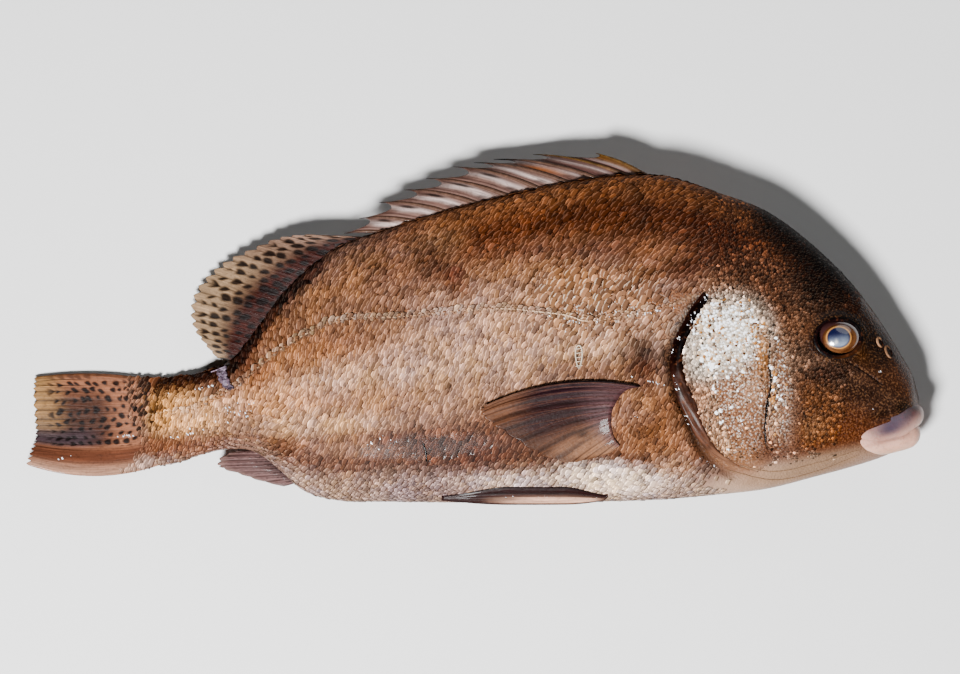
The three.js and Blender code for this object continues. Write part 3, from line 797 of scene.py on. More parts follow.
class Growth:
    """A Geometry Nodes tree, built node by node and applied once to a guide mesh."""

    def __init__(self, name, **inputs):
        self.tree = bpy.data.node_groups.new(name, "GeometryNodeTree")
        face = self.tree.interface
        face.new_socket("Geometry", in_out="OUTPUT", socket_type="NodeSocketGeometry")
        face.new_socket("Geometry", in_out="INPUT", socket_type="NodeSocketGeometry")
        self.keys = {}
        for key, kind in inputs.items():
            self.keys[key] = face.new_socket(key, in_out="INPUT", socket_type=kind).identifier
        self.start = self.tree.nodes.new("NodeGroupInput")
        self.end = self.tree.nodes.new("NodeGroupOutput")

    def given(self, name="Geometry"):
        return self.start.outputs[name]

    def node(self, kind, settings, sockets, out=0):
        made = self.tree.nodes.new(kind)
        for name, value in settings.items():
            setattr(made, name, value)
        for name, value in sockets.items():
            if isinstance(value, bpy.types.NodeSocket):
                self.tree.links.new(value, made.inputs[name])
            else:
                made.inputs[name].default_value = value
        return made.outputs[out]

    def named(self, name, kind):
        return self.node("GeometryNodeInputNamedAttribute", {"data_type": kind}, {"Name": name})

    def finish(self, geometry, material):
        solid = self.node("GeometryNodeRealizeInstances", {}, {"Geometry": geometry})
        worn = self.node("GeometryNodeSetMaterial", {}, {"Geometry": solid, "Material": material})
        self.tree.links.new(worn, self.end.inputs["Geometry"])

    def grow(self, guide, **values):
        """Applies the tree to a guide, which goes, and returns what grows, pressed flat on the slab."""
        modifier = guide.modifiers.new("growth", "NODES")
        modifier.node_group = self.tree
        for name, value in values.items():
            modifier[self.keys[name]] = value
        seen = guide.evaluated_get(bpy.context.evaluated_depsgraph_get())
        mesh = bpy.data.meshes.new_from_object(seen)
        guide.modifiers.remove(modifier)
        bpy.data.objects.remove(guide)
        points = np.zeros(len(mesh.vertices) * 3, np.float32)
        mesh.vertices.foreach_get("co", points)
        points[2::3] = np.maximum(points[2::3], 0)
        mesh.vertices.foreach_set("co", points)
        for layer in [a.name for a in mesh.attributes if a.name.startswith("seat_")]:
            mesh.attributes.remove(mesh.attributes[layer])
        return mesh


def scale_growth(name, material):
    """Seats one form on every point of the guide, along its stored normal and tail direction."""
    growth = Growth(name, Form="NodeSocketObject", Unevenness="NodeSocketFloat", Seed="NodeSocketInt")
    form = growth.node("GeometryNodeObjectInfo", {}, {"Object": growth.given("Form")}, "Geometry")
    turn = growth.node(
        "FunctionNodeAxesToRotation", {"primary_axis": "Z", "secondary_axis": "X"},
        {"Primary Axis": growth.named("seat_normal", "FLOAT_VECTOR"),
         "Secondary Axis": growth.named("seat_tail", "FLOAT_VECTOR")},
    )
    low = growth.node("ShaderNodeMath", {"operation": "SUBTRACT"}, {0: 1.0, 1: growth.given("Unevenness")})
    high = growth.node("ShaderNodeMath", {"operation": "ADD"}, {0: 1.0, 1: growth.given("Unevenness")})
    between = {2: low, 3: high, "Seed": growth.given("Seed")}
    uneven = growth.node("FunctionNodeRandomValue", {"data_type": "FLOAT"}, between, 1)
    spread = growth.named("seat_size", "FLOAT_VECTOR")
    grown = growth.node("ShaderNodeVectorMath", {"operation": "SCALE"}, {0: spread, "Scale": uneven})
    seated = growth.node(
        "GeometryNodeInstanceOnPoints", {},
        {"Points": growth.given(), "Instance": form, "Rotation": turn, "Scale": grown},
    )
    growth.finish(seated, material)
    return growth


def scale_seats(start, stop, pitch, tallness, side):
    """Staggered seats over one side: station by station towards the head, evenly down each."""
    seats = []
    sweep = np.linspace(0, math.pi, 240)
    x = start
    shifted = False
    while x < stop:
        ring = ring_point(np.full(len(sweep), x), side * sweep)
        arc = np.r_[0, np.cumsum(np.linalg.norm(np.diff(ring, axis=0), axis=-1))]
        step = pitch(x) * tallness
        down = np.arange((0.8 if shifted else 0.3) * step, arc[-1] - 0.2 * step, step)
        angle = side * np.interp(down, arc, sweep)
        seats.append(np.stack([0 * down + x, angle, 0 * down + pitch(x), 0 * down + step], -1))
        x += pitch(x)
        shifted = not shifted
    return np.vstack(seats)


def seat_guide(name, at, ahead, down, spread, tone, silver_and_sparkle, side=1, turn=0.0):
    """A guide mesh of bare points that carry where each scale faces, lies and how it is coloured."""
    a = np.radians(turn + np.zeros(len(at)))[:, None]
    mesh = bpy.data.meshes.new(name)
    mesh.from_pydata(((at + TO_FRAME) * MM).tolist(), [], [])
    store(mesh, "seat_normal", -side * np.cross(ahead, down))
    store(mesh, "seat_tail", -ahead * np.cos(a) - down * np.sin(a))
    store(mesh, "seat_size", spread * MM)
    store(mesh, "tone", tone)
    store(mesh, "silver_and_sparkle", silver_and_sparkle)
    return bring_in(name, mesh)


def skin_seats(
    name, seats, side, lean, size, keep, tone_at, settle=lambda at, side: at, sway=14, tumble=0.04,
):
    """The guide for scales that lie on the skin, clear of what they rest on underneath."""
    rng = np.random.default_rng(9)
    at = ring_point(seats[:, 0], seats[:, 1])
    seats = seats[keep(at[:, 0], at[:, 1]) & (at[:, 2] > SEAT_CLEAR_OF_SLAB)]
    x, angle, pitch, step = seats.T
    at = ring_point(x, angle)
    ahead = unit(ring_point(x + 0.8, angle) - ring_point(x - 0.8, angle))
    down = unit(ring_point(x, angle + 0.01 * side) - ring_point(x, angle - 0.01 * side))
    x, y = at[:, 0], at[:, 1]
    at = settle(at, side)
    turn = lean(x, y) + rng.uniform(-sway, sway, len(at))
    back, belly = np.moveaxis(rib(x), -1, 0)[:2]
    flat = 1 - 0.5 * ramp(0.2 - (y - belly) / (back - belly), 0, 0.1)
    spread = np.stack([size[0] * pitch, size[1] * step * flat**0.4, size[2] * pitch * flat], -1)
    tone = tone_at(x, y, rng)
    # How far each scale's rim is whitened and glossed: silvery sheen, partly painted sparkle, and a chance
    # painted glint.
    gleam = silver_mask(x, y) * rng.uniform(0, 2, len(x)) + 2 * tone[:, 1] * rng.uniform(0, 1, len(x)) ** 4
    gleam = np.clip(gleam, 0, 1)
    at = at + ahead * (pitch * rng.uniform(-0.24, 0.24, len(x)))[:, None]
    at = at + down * (step * rng.uniform(-0.22, 0.22, len(x)))[:, None]
    rolled = tumble * rng.normal(0, 1, (2, len(x), 1)) * silver_mask(x, y)[:, None]
    out = np.cross(ahead, down)
    ahead, down = unit(ahead + rolled[0] * out), unit(down + rolled[1] * out)
    return seat_guide(name, at, ahead, down, spread, tone, gleam, side, turn)


def lay_out_cells(mesh, faces_each):
    """Gives each scale its own cell of the baking map."""
    count = len(mesh.polygons) // faces_each
    across = math.ceil(math.sqrt(count))
    uv = np.zeros(len(mesh.loops) * 2, np.float32)
    layer = mesh.uv_layers["OFBake"]
    layer.data.foreach_get("uv", uv)
    number = np.repeat(np.arange(count), faces_each * 3)
    cell = np.stack([number % across, number // across], -1)
    inner = np.clip(uv.reshape(-1, 2), 0, 1) * 0.9 + 0.05
    layer.data.foreach_set("uv", ((cell + inner) / across).astype(np.float32).ravel())


def scale_finish():
    """Wet scales: painted shade where they are overlapped, and a painted highlight along the free rim, pale
    and glinting.
    """
    finish = Finish("wet_scales", Coat_Roughness=0.1, Coat_IOR=1.33, Specular_IOR_Level=0.02)
    tone = finish.stored("tone")
    rim = finish.stored("rim", "Fac")
    silver_and_sparkle = finish.stored("silver_and_sparkle", "Fac")
    grain = finish.noise(1500, finish.place(), 2.0)
    # Painted shade: the part of each scale under its neighbour's rim is darkened, as if in that rim's shadow.
    gap = finish.mix(1.0, tone, (0.26, 0.23, 0.21, 1), "MULTIPLY")
    deep = finish.mix(0.6 * tone.ease(0.2, 0.3), gap, tone)
    field = finish.mix((rim + 0.3 * grain - 0.15).ease(0.1, 0.4), deep, tone)
    # Painted highlight: the free rim is lightened, and whitened further where the scale is silvery or
    # sparkles.
    lit = finish.mix(1.0, tone, (2.5, 2.5, 2.5, 1), "MULTIPLY")
    pale = finish.mix(0.03 + 0.7 * silver_and_sparkle, lit, rgb(250, 240, 226))
    finish.wear(Base_Color=finish.mix((rim + 0.16 * grain - 0.08).ease(0.76, 0.93), field, pale))
    finish.wear(Roughness=0.36 - 0.16 * silver_and_sparkle + 0.12 * grain)
    finish.wear(Coat_Weight=0.01 + 0.7 * silver_and_sparkle)
    finish.bumped(grain, 0.0003, 0.5)
    return finish.material


FORM = scale_form()
SCALE_GROWTH = scale_growth("scale_growth", scale_finish())


def grow_scales(name, guide, unevenness, seed):
    """Grows one scale on every seat of the guide and makes a piece of them."""
    mesh = SCALE_GROWTH.grow(guide, Form=FORM, Unevenness=unevenness, Seed=seed)
    lay_out_cells(mesh, SCALE_FACES)
    adopt(name, mesh, "fish")


def flank_pitch(x):
    return float(1.0 + 0.15 * ramp(x, -160, -110) + 0.2 * np.exp(-(((x - 62) / 32) ** 2)))


def on_shoulder(x, y):
    """The patch above the pectoral fin where the scales are largest, with a ragged edge."""
    return np.hypot((x - 59) / 33, (y - 9) / 18) + 0.2 * mottle(x, y, 4, 11) < 1


def flank_lean(x, y):
    return 28 + 12 * ramp(y, -10, 40)


def behind_slit(x, y):
    slit, t = distance_to(GILL_SLIT, x, y)
    behind = (slit < -1.6) | ((t < 0.01) & (x < 119)) | ((t > 0.99) & (x < 128))
    ragged = x + 9 * mottle(x, y, 1.6, 7) + 6 * mottle(x, y, 5, 17) + 0.3 * (y + 80)
    return behind & ((ragged < 121) | (y > 17)) & (x < 122 + 10 * (y < 0))


def softened(tone):
    """A tone for rows of scales, whose painted shade in the overlapped gaps deepens and reddens what lies
    between them.
    """
    return 0.64 * np.maximum(tone, 0) ** 0.84


def scaled_tone(x, y, rng):
    tone = softened(skin_tone(x, y))
    patches = 0.2 * mottle(x, y, 12, 1) + 0.2 * mottle(x, y, 5, 2)
    shade = np.exp(rng.normal(0, 0.3, len(x)) + patches)[:, None]
    hue = 0.7 * mottle(x, y, 16, 3) + 0.5 * mottle(x, y, 6, 4) + rng.normal(0, 0.35, len(x))
    hue = np.clip(hue, -1, 1)[:, None]
    warm, cool = np.maximum(hue, 0), np.maximum(-hue, 0)
    return tone * shade * (1 + warm * np.array([0.06, 0.01, -0.2]) + cool * np.array([-0.08, 0.0, 0.24]))


def flank_scales(side, name):
    seats = scale_seats(TAIL_ROOT + 1, 132, flank_pitch, 3.1, side)
    guide = skin_seats(
        name + "_seats", seats, side, flank_lean, (2.4, 1.2, 0.3),
        lambda x, y: behind_slit(x, y) & ~on_shoulder(x, y), scaled_tone,
    )
    grow_scales(name, guide, 0.26, 3)


def shoulder_scales(side, name):
    """The large scales above the pectoral fin, whose rims catch the light one by one, partly as glints off
    their coat and partly as painted highlight.
    """
    seats = scale_seats(20, 100, lambda x: 1.7, 2.4, side)
    guide = skin_seats(
        name + "_seats", seats, side, lambda x, y: 30 + 0 * x, (2.3, 1.2, 0.24),
        lambda x, y: behind_slit(x, y) & on_shoulder(x, y), scaled_tone, sway=18,
    )
    grow_scales(name, guide, 0.2, 5)


HEAD_PITCH = 0.9


def head_lean(x, y):
    return 10 + 30 * ramp(x, 120, 190)


def on_head(x, y):
    _, t = distance_to(GILL_SLIT, x, y)
    rear, _ = distance_to(GILL_COVER.rear, x, y)
    cheek, along = distance_to(CHEEK_PLATE.rear, x, y)
    on_cover = (rear > 0.9) & ((t > 0.01) | (x > 119))
    nape = (y > 17) & (x > 112)
    clear_of_eye = eye_reach(x, y) > 1.42
    clear_of_mouth = np.hypot((x - 218) / 27, (y + 45) / 17) > 1
    ragged = 8 * mottle(x, y, 1.3, 8) + 5 * mottle(x, y, 5, 14)
    above_throat = y + ragged > -66 + 0.14 * (x - 130)
    off_line = (np.abs(cheek) > 1.0) | (along < 0.01) | (along > 0.99)
    before_snout = x + 4 * mottle(x, y, 3, 5) < 189 + 0.15 * (y + 5)
    clear_of_nose = np.hypot(x - 204.6, y + 9.8) > 6.5
    kept = (on_cover | nape) & clear_of_eye & clear_of_mouth & above_throat & off_line & clear_of_nose
    return kept & before_snout


def head_tone(x, y, rng):
    """Each head scale is lit or dull by chance. Those of the cover are silvery white, gold or dark, and their
    white is partly painted sparkle of light.
    """
    tone = hide_tone(x, y)
    light = rng.uniform(0, 1, len(x))
    shade = np.exp(rng.normal(-0.2, 0.72, len(x)) + 0.25 * mottle(x, y, 5, 6))[:, None]
    broken = silver_mask(x, y) * (1 + 0.9 * mottle(x, y, 2.2, 15) + 0.6 * mottle(x, y, 6, 16))
    silver_and_sparkle = broken > rng.uniform(0.3, 0.8, len(x))
    patch = 0.14 * mottle(x, y, 4, 12) + 0.1 * mottle(x, y, 9, 13)
    light = np.clip(light + patch, 0, 1)
    flecks = paint(tone * 0 + 1.36 * tint(250, 251, 254), light < 0.45, (226, 206, 182))
    gold = 0.2 + 0.45 * ramp(x, 134, 143)
    flecks = paint(paint(flecks, light < gold, (200, 160, 112)), light < 0.1, (130, 96, 74))
    dull = paint(tone, 0.75 * silver_mask(x, y), (208, 174, 144))
    return np.where(silver_and_sparkle[:, None], flecks, softened(dull) * shade)


def settle_on_plates(at, side):
    """Moves the points that a bony plate covers out to its outer face."""
    moved = at.copy()
    for plate in PLATE_FORMS[side]:
        for i, (x, y, _) in enumerate(at):
            start = Vector(((x + TO_FRAME[0]) * MM, (y + TO_FRAME[1]) * MM, side * 0.2 + 0.02))
            hit = plate.ray_cast(start, Vector((0, 0, -side)))[0]
            if hit is not None:
                moved[i, 2] = max(moved[i, 2] * side, hit.z / MM * side) * side
    return moved


def head_scales(side, name):
    seats = scale_seats(100, 206, lambda x: HEAD_PITCH, 1.55, side)
    guide = skin_seats(
        name + "_seats", seats, side, head_lean, (1.8, 1.15, 0.4), on_head, head_tone,
        settle_on_plates, sway=25, tumble=0.08,
    )
    grow_scales(name, guide, 0.3, 8)


for side, hand in SIDES:
    flank_scales(side, "flank_scales_" + hand)
    shoulder_scales(side, "shoulder_scales_" + hand)
    head_scales(side, "head_scales_" + hand)


# Lateral line: a row of small pale tube scales from the gill slit to the tail, through which the
# fish feels the water. Each tube is seated like a scale, but longer, narrower and almost white.
# On the side that is lain on there are no tubes, only the line's pale colour in the skin.
def lateral_line(side, name):
    count = 118
    t = np.linspace(0.04, 0.93, count)
    p = LATERAL_LINE(t)
    x, y = p.T
    at = skin(x, y, side, 0.5)
    ahead = unit(-np.gradient(at, axis=0))
    up = unit(skin(x, y + 0.5, side) - skin(x, y - 0.5, side))
    rng = np.random.default_rng(5)
    # Paler near the shoulder: a painted glint of light along the line there.
    bright = 0.1 + 0.6 * np.exp(-(((x - 42) / 24) ** 2)) + rng.uniform(-0.2, 0.3, count)
    size = np.stack([rng.uniform(1.0, 2.2, count), rng.uniform(0.4, 0.8, count), 0.9 + 0 * x], -1)
    tone = paint(hide_tone(x, y), np.clip(bright, 0, 1), (236, 214, 190))
    guide = seat_guide(name + "_seats", at, ahead, -up, size, tone, np.clip(bright - 0.4, 0, 1), side)
    grow_scales(name, guide, 0.1, 4)


lateral_line(1, "lateral_line_right")


# Lips: two fleshy rolls that run round the snout from one corner of the mouth to the other. The
# upper is grey violet over pink, the lower pink, both smooth and slick.
def lip_finish():
    finish = Finish("lip_flesh", Coat_Weight=0.2, Coat_Roughness=0.16, Specular_IOR_Level=0.15,
                    Subsurface_Weight=0.15, Subsurface_Scale=0.003)
    where = finish.place()
    grain = finish.noise(500, where, 3.0)
    vein = finish.noise(160, where, 5.0, 0.65)
    tone = finish.stored("tone")
    flushed = finish.mix(0.2 * vein.ease(0.5, 0.68), tone, rgb(176, 118, 112))
    finish.wear(Base_Color=finish.mix(0.2 * grain.ease(0.5, 0.7), flushed, rgb(110, 84, 92)))
    finish.wear(Roughness=0.3 + 0.25 * grain)
    finish.bumped(grain + vein, 0.0005, 0.5)
    return finish.material


def roll(path, upright, tall, wide, sides):
    """Rings round a path, as tall and as wide as given at each of its points."""
    ahead = unit(np.gradient(path, axis=0))
    upright = np.broadcast_to(np.array(upright, float), path.shape)
    up = unit(upright - ahead * (upright * ahead).sum(-1, keepdims=True))
    out = np.cross(ahead, up)
    a = np.arange(sides) * 2 * math.pi / sides
    rise = up[:, None] * (np.cos(a)[None, :] * tall[:, None])[..., None]
    reach = out[:, None] * (np.sin(a)[None, :] * wide[:, None])[..., None]
    return path[:, None] + rise + reach


LIP = lip_finish()


def lip_roll(name, centre, radii, proud):
    """A roll from corner to corner through centre points, as thick and as proud as given at each."""
    t = np.linspace(-1, 1, 141)
    s = 1 - np.cos(t * math.pi / 2)
    x, y = smooth_line(centre)(s).T
    _, _, _, high, low, middle = section(x)
    wrap = np.sin(np.minimum(1, np.abs(t) / 0.3) * math.pi / 2)
    stops = np.linspace(0, 1, len(radii))
    radius = np.interp(s, stops, radii)
    reach = fullness(x, y) * np.where(t > 0, high, low) + np.interp(s, stops, proud) - 0.8 * radius
    path = np.stack([x, y, middle + np.sign(t) * wrap * reach], -1)
    rings = roll(path, (0, 1, 0), radius, 0.8 * radius, 36)
    points, faces, uv = closed_rings(rings)
    new_piece(name, points, faces, LIP, "fish", {"tone": lip_tone(points[:, 0], points[:, 1])}, uv)


def lip_tone(x, y):
    tone = plain(x, 234, 200, 184)
    tone = blot(tone, x, y, 210, -44.5, 17, 8, 22, (128, 118, 132), 0.97, 3)
    tone = blot(tone, x, y, 207, -51, 9, 3.6, 18, (92, 88, 112), 0.85, 2)
    tone = blot(tone, x, y, 219, -39.5, 7, 4.5, 50, (92, 78, 84), 0.8, 3)
    tone = blot(tone, x, y, 207, -56.2, 13, 0.9, 14, (150, 112, 108), 0.5, 2)
    tone = blot(tone, x, y, 194, -49.5, 4, 3, 20, (150, 110, 100), 0.6, 2)
    return blot(tone, x, y, 204, -64, 20, 3, 8, (196, 172, 148), 0.7, 2)


lip_roll(
    "upper_lip", [(219.9, -43.4), (217.3, -44.6), (211, -48.2), (203, -50.6), (195.5, -52), (189, -53)],
    [6.2, 6.4, 6.8, 6.9, 5.8, 3.8], [0.6, 0.9, 1.2, 1.0, 0.5, -0.7],
)
lip_roll(
    "lower_lip", [(218, -52.8), (215.6, -54), (210.6, -55.4), (203, -56.6), (196, -55.2), (189.4, -53.6)],
    [6.6, 6.6, 6.6, 6.8, 6.0, 3.8], [0.3, 0.5, 0.9, 0.8, 0.4, -0.7],
)


# Eyes: a flattened ball in a socket with a dark, slick rim. The lens has clouded from blue to milky white, a
# thin gold ring bounds the pupil, and the iris round it is copper. A small white glint is painted on the
# pupil.
EYE_REACH = (11.2, 9.4, 7.5)
EYE_PROUD = 2.2
PUPIL = (0.3, 0.25, 5.9, 5.25)
IRIS = (1.3, -0.7, 9.4, 7.8)


def eye_finish():
    finish = Finish("clear_eye", Coat_Weight=1.0, Coat_Roughness=0.02, Specular_IOR_Level=0.4)
    where = finish.place()
    fine = finish.noise(900, where, 3.0)
    cloud = finish.noise(260, where, 3.0)
    tone = finish.stored("tone")
    lit = finish.mix(1.0, tone, (1.5, 1.4, 1.3, 1), "MULTIPLY")
    grained = finish.mix(0.5 * fine.ease(0.45, 0.7), tone, lit)
    finish.wear(Base_Color=finish.mix(0.2 * cloud.ease(0.5, 0.7), grained, rgb(40, 26, 30)))
    finish.wear(Roughness=0.12 + 0.15 * fine)
    return finish.material


def eye_tone(x, y):
    """Colours from the rim inwards, at x, y from the middle of the eye."""
    pupil = np.hypot((x - PUPIL[0]) / PUPIL[2], (y - PUPIL[1]) / PUPIL[3])
    iris = np.hypot((x - IRIS[0]) / IRIS[2], (y - IRIS[1]) / IRIS[3])
    tone = plain(x, 112, 84, 84)
    tone = paint(tone, ramp(-y, 2, 9) * ramp(iris, 1.0, 1.08), (96, 66, 40))
    ring = ramp(1.02 - iris, 0, 0.08)
    swirl = 0.5 + 0.5 * np.sin(3 * np.arctan2(y, x) + 1.2) * np.cos(9 * pupil)
    tone = paint(tone, ring, (116, 82, 56))
    tone = paint(tone, ring * 0.5 * swirl, (172, 136, 102))
    tone = paint(tone, 0.75 * ring * ramp(iris, 0.86, 0.98), (92, 56, 40))
    tone = paint(tone, ramp(1.12 - pupil, 0, 0.07), (204, 168, 118))
    tone = paint(tone, ramp(1.01 - pupil, 0, 0.07), (62, 66, 104))
    milk = ramp(1.02 - pupil, 0, 0.3) * ramp(3.0 - y + 0.2 * x, 0, 7.5)
    tone = paint(tone, milk, (168, 176, 190))
    # Painted highlight: a small white glint on the lower pupil.
    return paint(tone, 0.9 * np.exp(-np.hypot((x + 0.9) * 1.4, y + 1.9) ** 2), (230, 232, 234))


EYE = eye_finish()


def eyeball(side, name):
    from_pole = np.linspace(math.pi - 0.02, 0.02, 110)
    around = np.linspace(0, 2 * math.pi, 128, endpoint=False)
    rise, turn = np.meshgrid(from_pole, around, indexing="ij")
    x = EYE_REACH[0] * np.sin(rise) * np.cos(turn)
    y = EYE_REACH[1] * np.sin(rise) * np.sin(turn)
    z = EYE_REACH[2] * np.cos(rise)
    seat = skin_over(EYE_X, EYE_Y, side) + np.array([0, 0, side * (EYE_PROUD - EYE_REACH[2])])
    points, faces, uv = closed_rings(np.stack([x, y, z], -1) + seat)
    tone = eye_tone(points[:, 0] - EYE_X, points[:, 1] - EYE_Y)
    new_piece("eyeball_" + name, points, faces, EYE, "eye_" + name, {"tone": tone}, uv)


def skin_over(x, y, side):
    """One point of the skin as the solid has it, before furrows and sockets are modelled in."""
    _, _, _, high, low, middle = section(x)
    out = (high if side > 0 else low) * fullness(x, y) + flesh_relief(x, y)
    return np.array([x, y, float(middle + side * out)])


def looped(path, tall, wide, sides):
    """The mesh of a ring-shaped roll round a closed path, flat in X and Y."""
    ahead = unit(np.roll(path, -1, 0) - np.roll(path, 1, 0))
    up = np.array([0.0, 0.0, 1.0])
    out = unit(np.cross(ahead, up))
    a = np.arange(sides) * 2 * math.pi / sides
    rings = path[:, None] + up * (np.cos(a)[None, :] * tall[:, None])[..., None]
    rings = rings + out[:, None] * (np.sin(a)[None, :] * wide[:, None])[..., None]
    rows = len(path)
    quads = lattice(rows + 1, sides, True) % (rows * sides)
    r, c = np.meshgrid(np.arange(rows), np.arange(sides), indexing="ij")
    corners = np.stack([r, c, r, c + 1, r + 1, c + 1, r + 1, c], -1).reshape(-1, 2)
    return rings.reshape(-1, 3), quads, corners / np.array([rows, sides])


def socket_rim(side, name):
    turn = np.linspace(0, 2 * math.pi, 120, endpoint=False)
    x = EYE_X + 11.6 * np.cos(turn)
    y = EYE_Y + 9.7 * np.sin(turn)
    slope = np.stack([skin_over(a, b, side) for a, b in zip(x, y)])
    slope[:, 2] += side * 0.1
    tall = 0.55 + 0.2 * np.sin(turn * 2 + 0.6)
    points, faces, uv = looped(slope, tall, 1.2 + 0 * turn, 14)
    inner = ramp(12.2 - np.hypot(points[:, 0] - EYE_X, (points[:, 1] - EYE_Y) * 1.2), 0, 1.5)
    tone = paint(plain(points[:, 0], 24, 10, 9), 0.7 * inner, (70, 40, 44))
    low_front = ramp((points[:, 0] - EYE_X) * 0.5 - (points[:, 1] - EYE_Y), 7, 11)
    tone = paint(tone, 0.5 * low_front, (128, 88, 46))
    new_piece(name, points, faces, SLICK, "fish", {"tone": tone}, uv)


# Nostrils: two small pits before each eye, the rear one round, the front one a slanted slot, each with a
# raised rim of skin that is painted pale along one side as a highlight and dark round the rest.
NOSTRILS = [(202.4, -7.4, 1.2, 2.4), (206.8, -12.2, 1.3, 3.0)]


def nostril(side, name, place):
    x, y, wide, tall = place
    turn = np.linspace(0, 2 * math.pi, 48, endpoint=False)
    lean = -0.42
    a, b = wide * np.cos(turn), tall * np.sin(turn)
    px = x + a * math.cos(lean) + b * math.sin(lean)
    py = y - a * math.sin(lean) + b * math.cos(lean)
    path = np.stack([skin_over(q, r, side) for q, r in zip(px, py)])
    path[:, 2] += side * 0.2
    size = 0.5 + 0.16 * np.sin(turn - 0.8)
    points, faces, uv = looped(path, size, size, 10)
    # Painted highlight: the rim is pale along one side and dark round the rest.
    lit = ramp(np.cos(np.repeat(turn, 10) - 2.6), -0.9, 0.4)
    tone = paint(plain(points[:, 0], 60, 34, 24), lit, (196, 164, 138))
    new_piece(name, points, faces, SLICK, "fish", {"tone": tone}, uv)


for side, hand in SIDES:
    eyeball(side, hand)
    socket_rim(side, "socket_rim_" + hand)
    nostril(side, "rear_nostril_" + hand, NOSTRILS[0])
    nostril(side, "front_nostril_" + hand, NOSTRILS[1])


# Spiny dorsal fin: ten stiff spines laid back along the nape and back, joined by a thin membrane
# that is cut out in a scallop behind each tip. The fin sags towards the slab as it reaches out.
SPINE_TIPS = np.array([
    (61, 87), (29.6, 86.6), (10, 84.2), (0, 82.5), (-10.2, 80.4), (-23.8, 74.5), (-34.8, 68.8),
    (-47.4, 62.5), (-57.2, 54.5), (-65, 47),
])
SPINE_ROOTS = np.array([92] + [84.6 - 15.4 * k for k in range(9)])
FIN_DROOP = 0.0042


def sagging(x, y, root_x):
    """A fin's point on the mid-plane of the body at its root, sunk by how far it reaches out."""
    back, _, _, _, _, middle = section(root_x)
    reach = np.hypot(x - root_x, y - back)
    return np.stack([x, y, np.maximum(1.2, middle - FIN_DROOP * reach**2)], -1)


def spine_point(k, t):
    root = np.stack([SPINE_ROOTS[k], rib(SPINE_ROOTS[k])[..., 0] - 4], -1)
    tip = SPINE_TIPS[k]
    length = np.linalg.norm(tip - root, axis=-1)
    p = root + (tip - root) * t[..., None]
    return sagging(p[..., 0], p[..., 1] + 0.22 * length * t * (1 - t), SPINE_ROOTS[k])


def fin_finish():
    """Wet fin: a stored tone, streaked along the rays, with the rays paler and slicker."""
    finish = Finish("wet_fin", Coat_Weight=0.08, Coat_Roughness=0.08, Coat_IOR=1.33, Specular_IOR_Level=0.05)
    tone = finish.stored("tone")
    lie = finish.stored("lie", "Vector")
    streak = finish.noise(1.0, lie, 4.0, 0.7)
    grain = finish.noise(700, finish.place(), 2.0)
    dark = finish.mix(0.5 * streak.ease(0.5, 0.3), tone, rgb(40, 20, 20))
    pale = finish.mix(streak.ease(0.5, 0.72), dark, finish.mix(1.0, dark, (1.8, 1.75, 1.7, 1), "MULTIPLY"))
    worn = finish.mix(1.0, pale, (0.6, 0.56, 0.54, 1), "MULTIPLY")
    finish.wear(Base_Color=finish.mix(0.5 * grain.ease(0.5, 0.7), pale, worn))
    finish.wear(Roughness=0.28 + 0.25 * grain)
    finish.bumped(streak + grain * 0.5, 0.0004, 0.6)
    return finish.material


FIN = fin_finish()


def ray_growth(name, material):
    """Turns the guide's strands into tubes, as thick at each point as its stored radius."""
    growth = Growth(name, Sides="NodeSocketInt")
    strand = growth.node("GeometryNodeMeshToCurve", {}, {"Mesh": growth.given()})
    circle = {"Resolution": growth.given("Sides"), "Radius": 1.0}
    outline = growth.node("GeometryNodeCurvePrimitiveCircle", {}, circle)
    radius = growth.named("seat_radius", "FLOAT")
    tube = growth.node(
        "GeometryNodeCurveToMesh", {},
        {"Curve": strand, "Profile Curve": outline, "Scale": radius, "Fill Caps": True},
    )
    round_tube = growth.node("GeometryNodeSetShadeSmooth", {}, {"Geometry": tube})
    growth.finish(round_tube, material)
    return growth


RAY_GROWTH = ray_growth("ray_growth", FIN)


def grow_rays(name, strands, radii, tones):
    """Rays from strands of points, each of the same count, with a radius and a tone at each point."""
    count, steps = strands.shape[:2]
    k = np.arange(count * steps).reshape(count, steps)
    edges = np.stack([k[:, :-1], k[:, 1:]], -1).reshape(-1, 2)
    mesh = bpy.data.meshes.new(name)
    mesh.from_pydata(((strands.reshape(-1, 3) + TO_FRAME) * MM).tolist(), edges.tolist(), [])
    store(mesh, "seat_radius", radii.ravel() * MM)
    store(mesh, "tone", tones.reshape(-1, 3))
    store(mesh, "lie", np.stack([k.ravel() // steps * 7.0, k.ravel() % steps * 0.3, 0 * k.ravel()], -1))
    guide = bring_in(name + "_strands", mesh)
    adopt(name, RAY_GROWTH.grow(guide, Sides=7), "fish")


def dorsal_spines():
    k, t = np.meshgrid(np.arange(len(SPINE_TIPS)), np.linspace(0, 1, 26), indexing="ij")
    strands = spine_point(k, t)
    radii = 1.25 * (1 - t) ** 0.75 + 0.12
    tone = paint(plain(k, 132, 110, 98), ramp(t, 0.6, 1), (78, 54, 46))
    tone = paint(tone, 0.8 * (k < 2) * ramp(t, 0.1, 0.5), (128, 104, 52))
    grow_rays("dorsal_spines", strands, radii, tone)


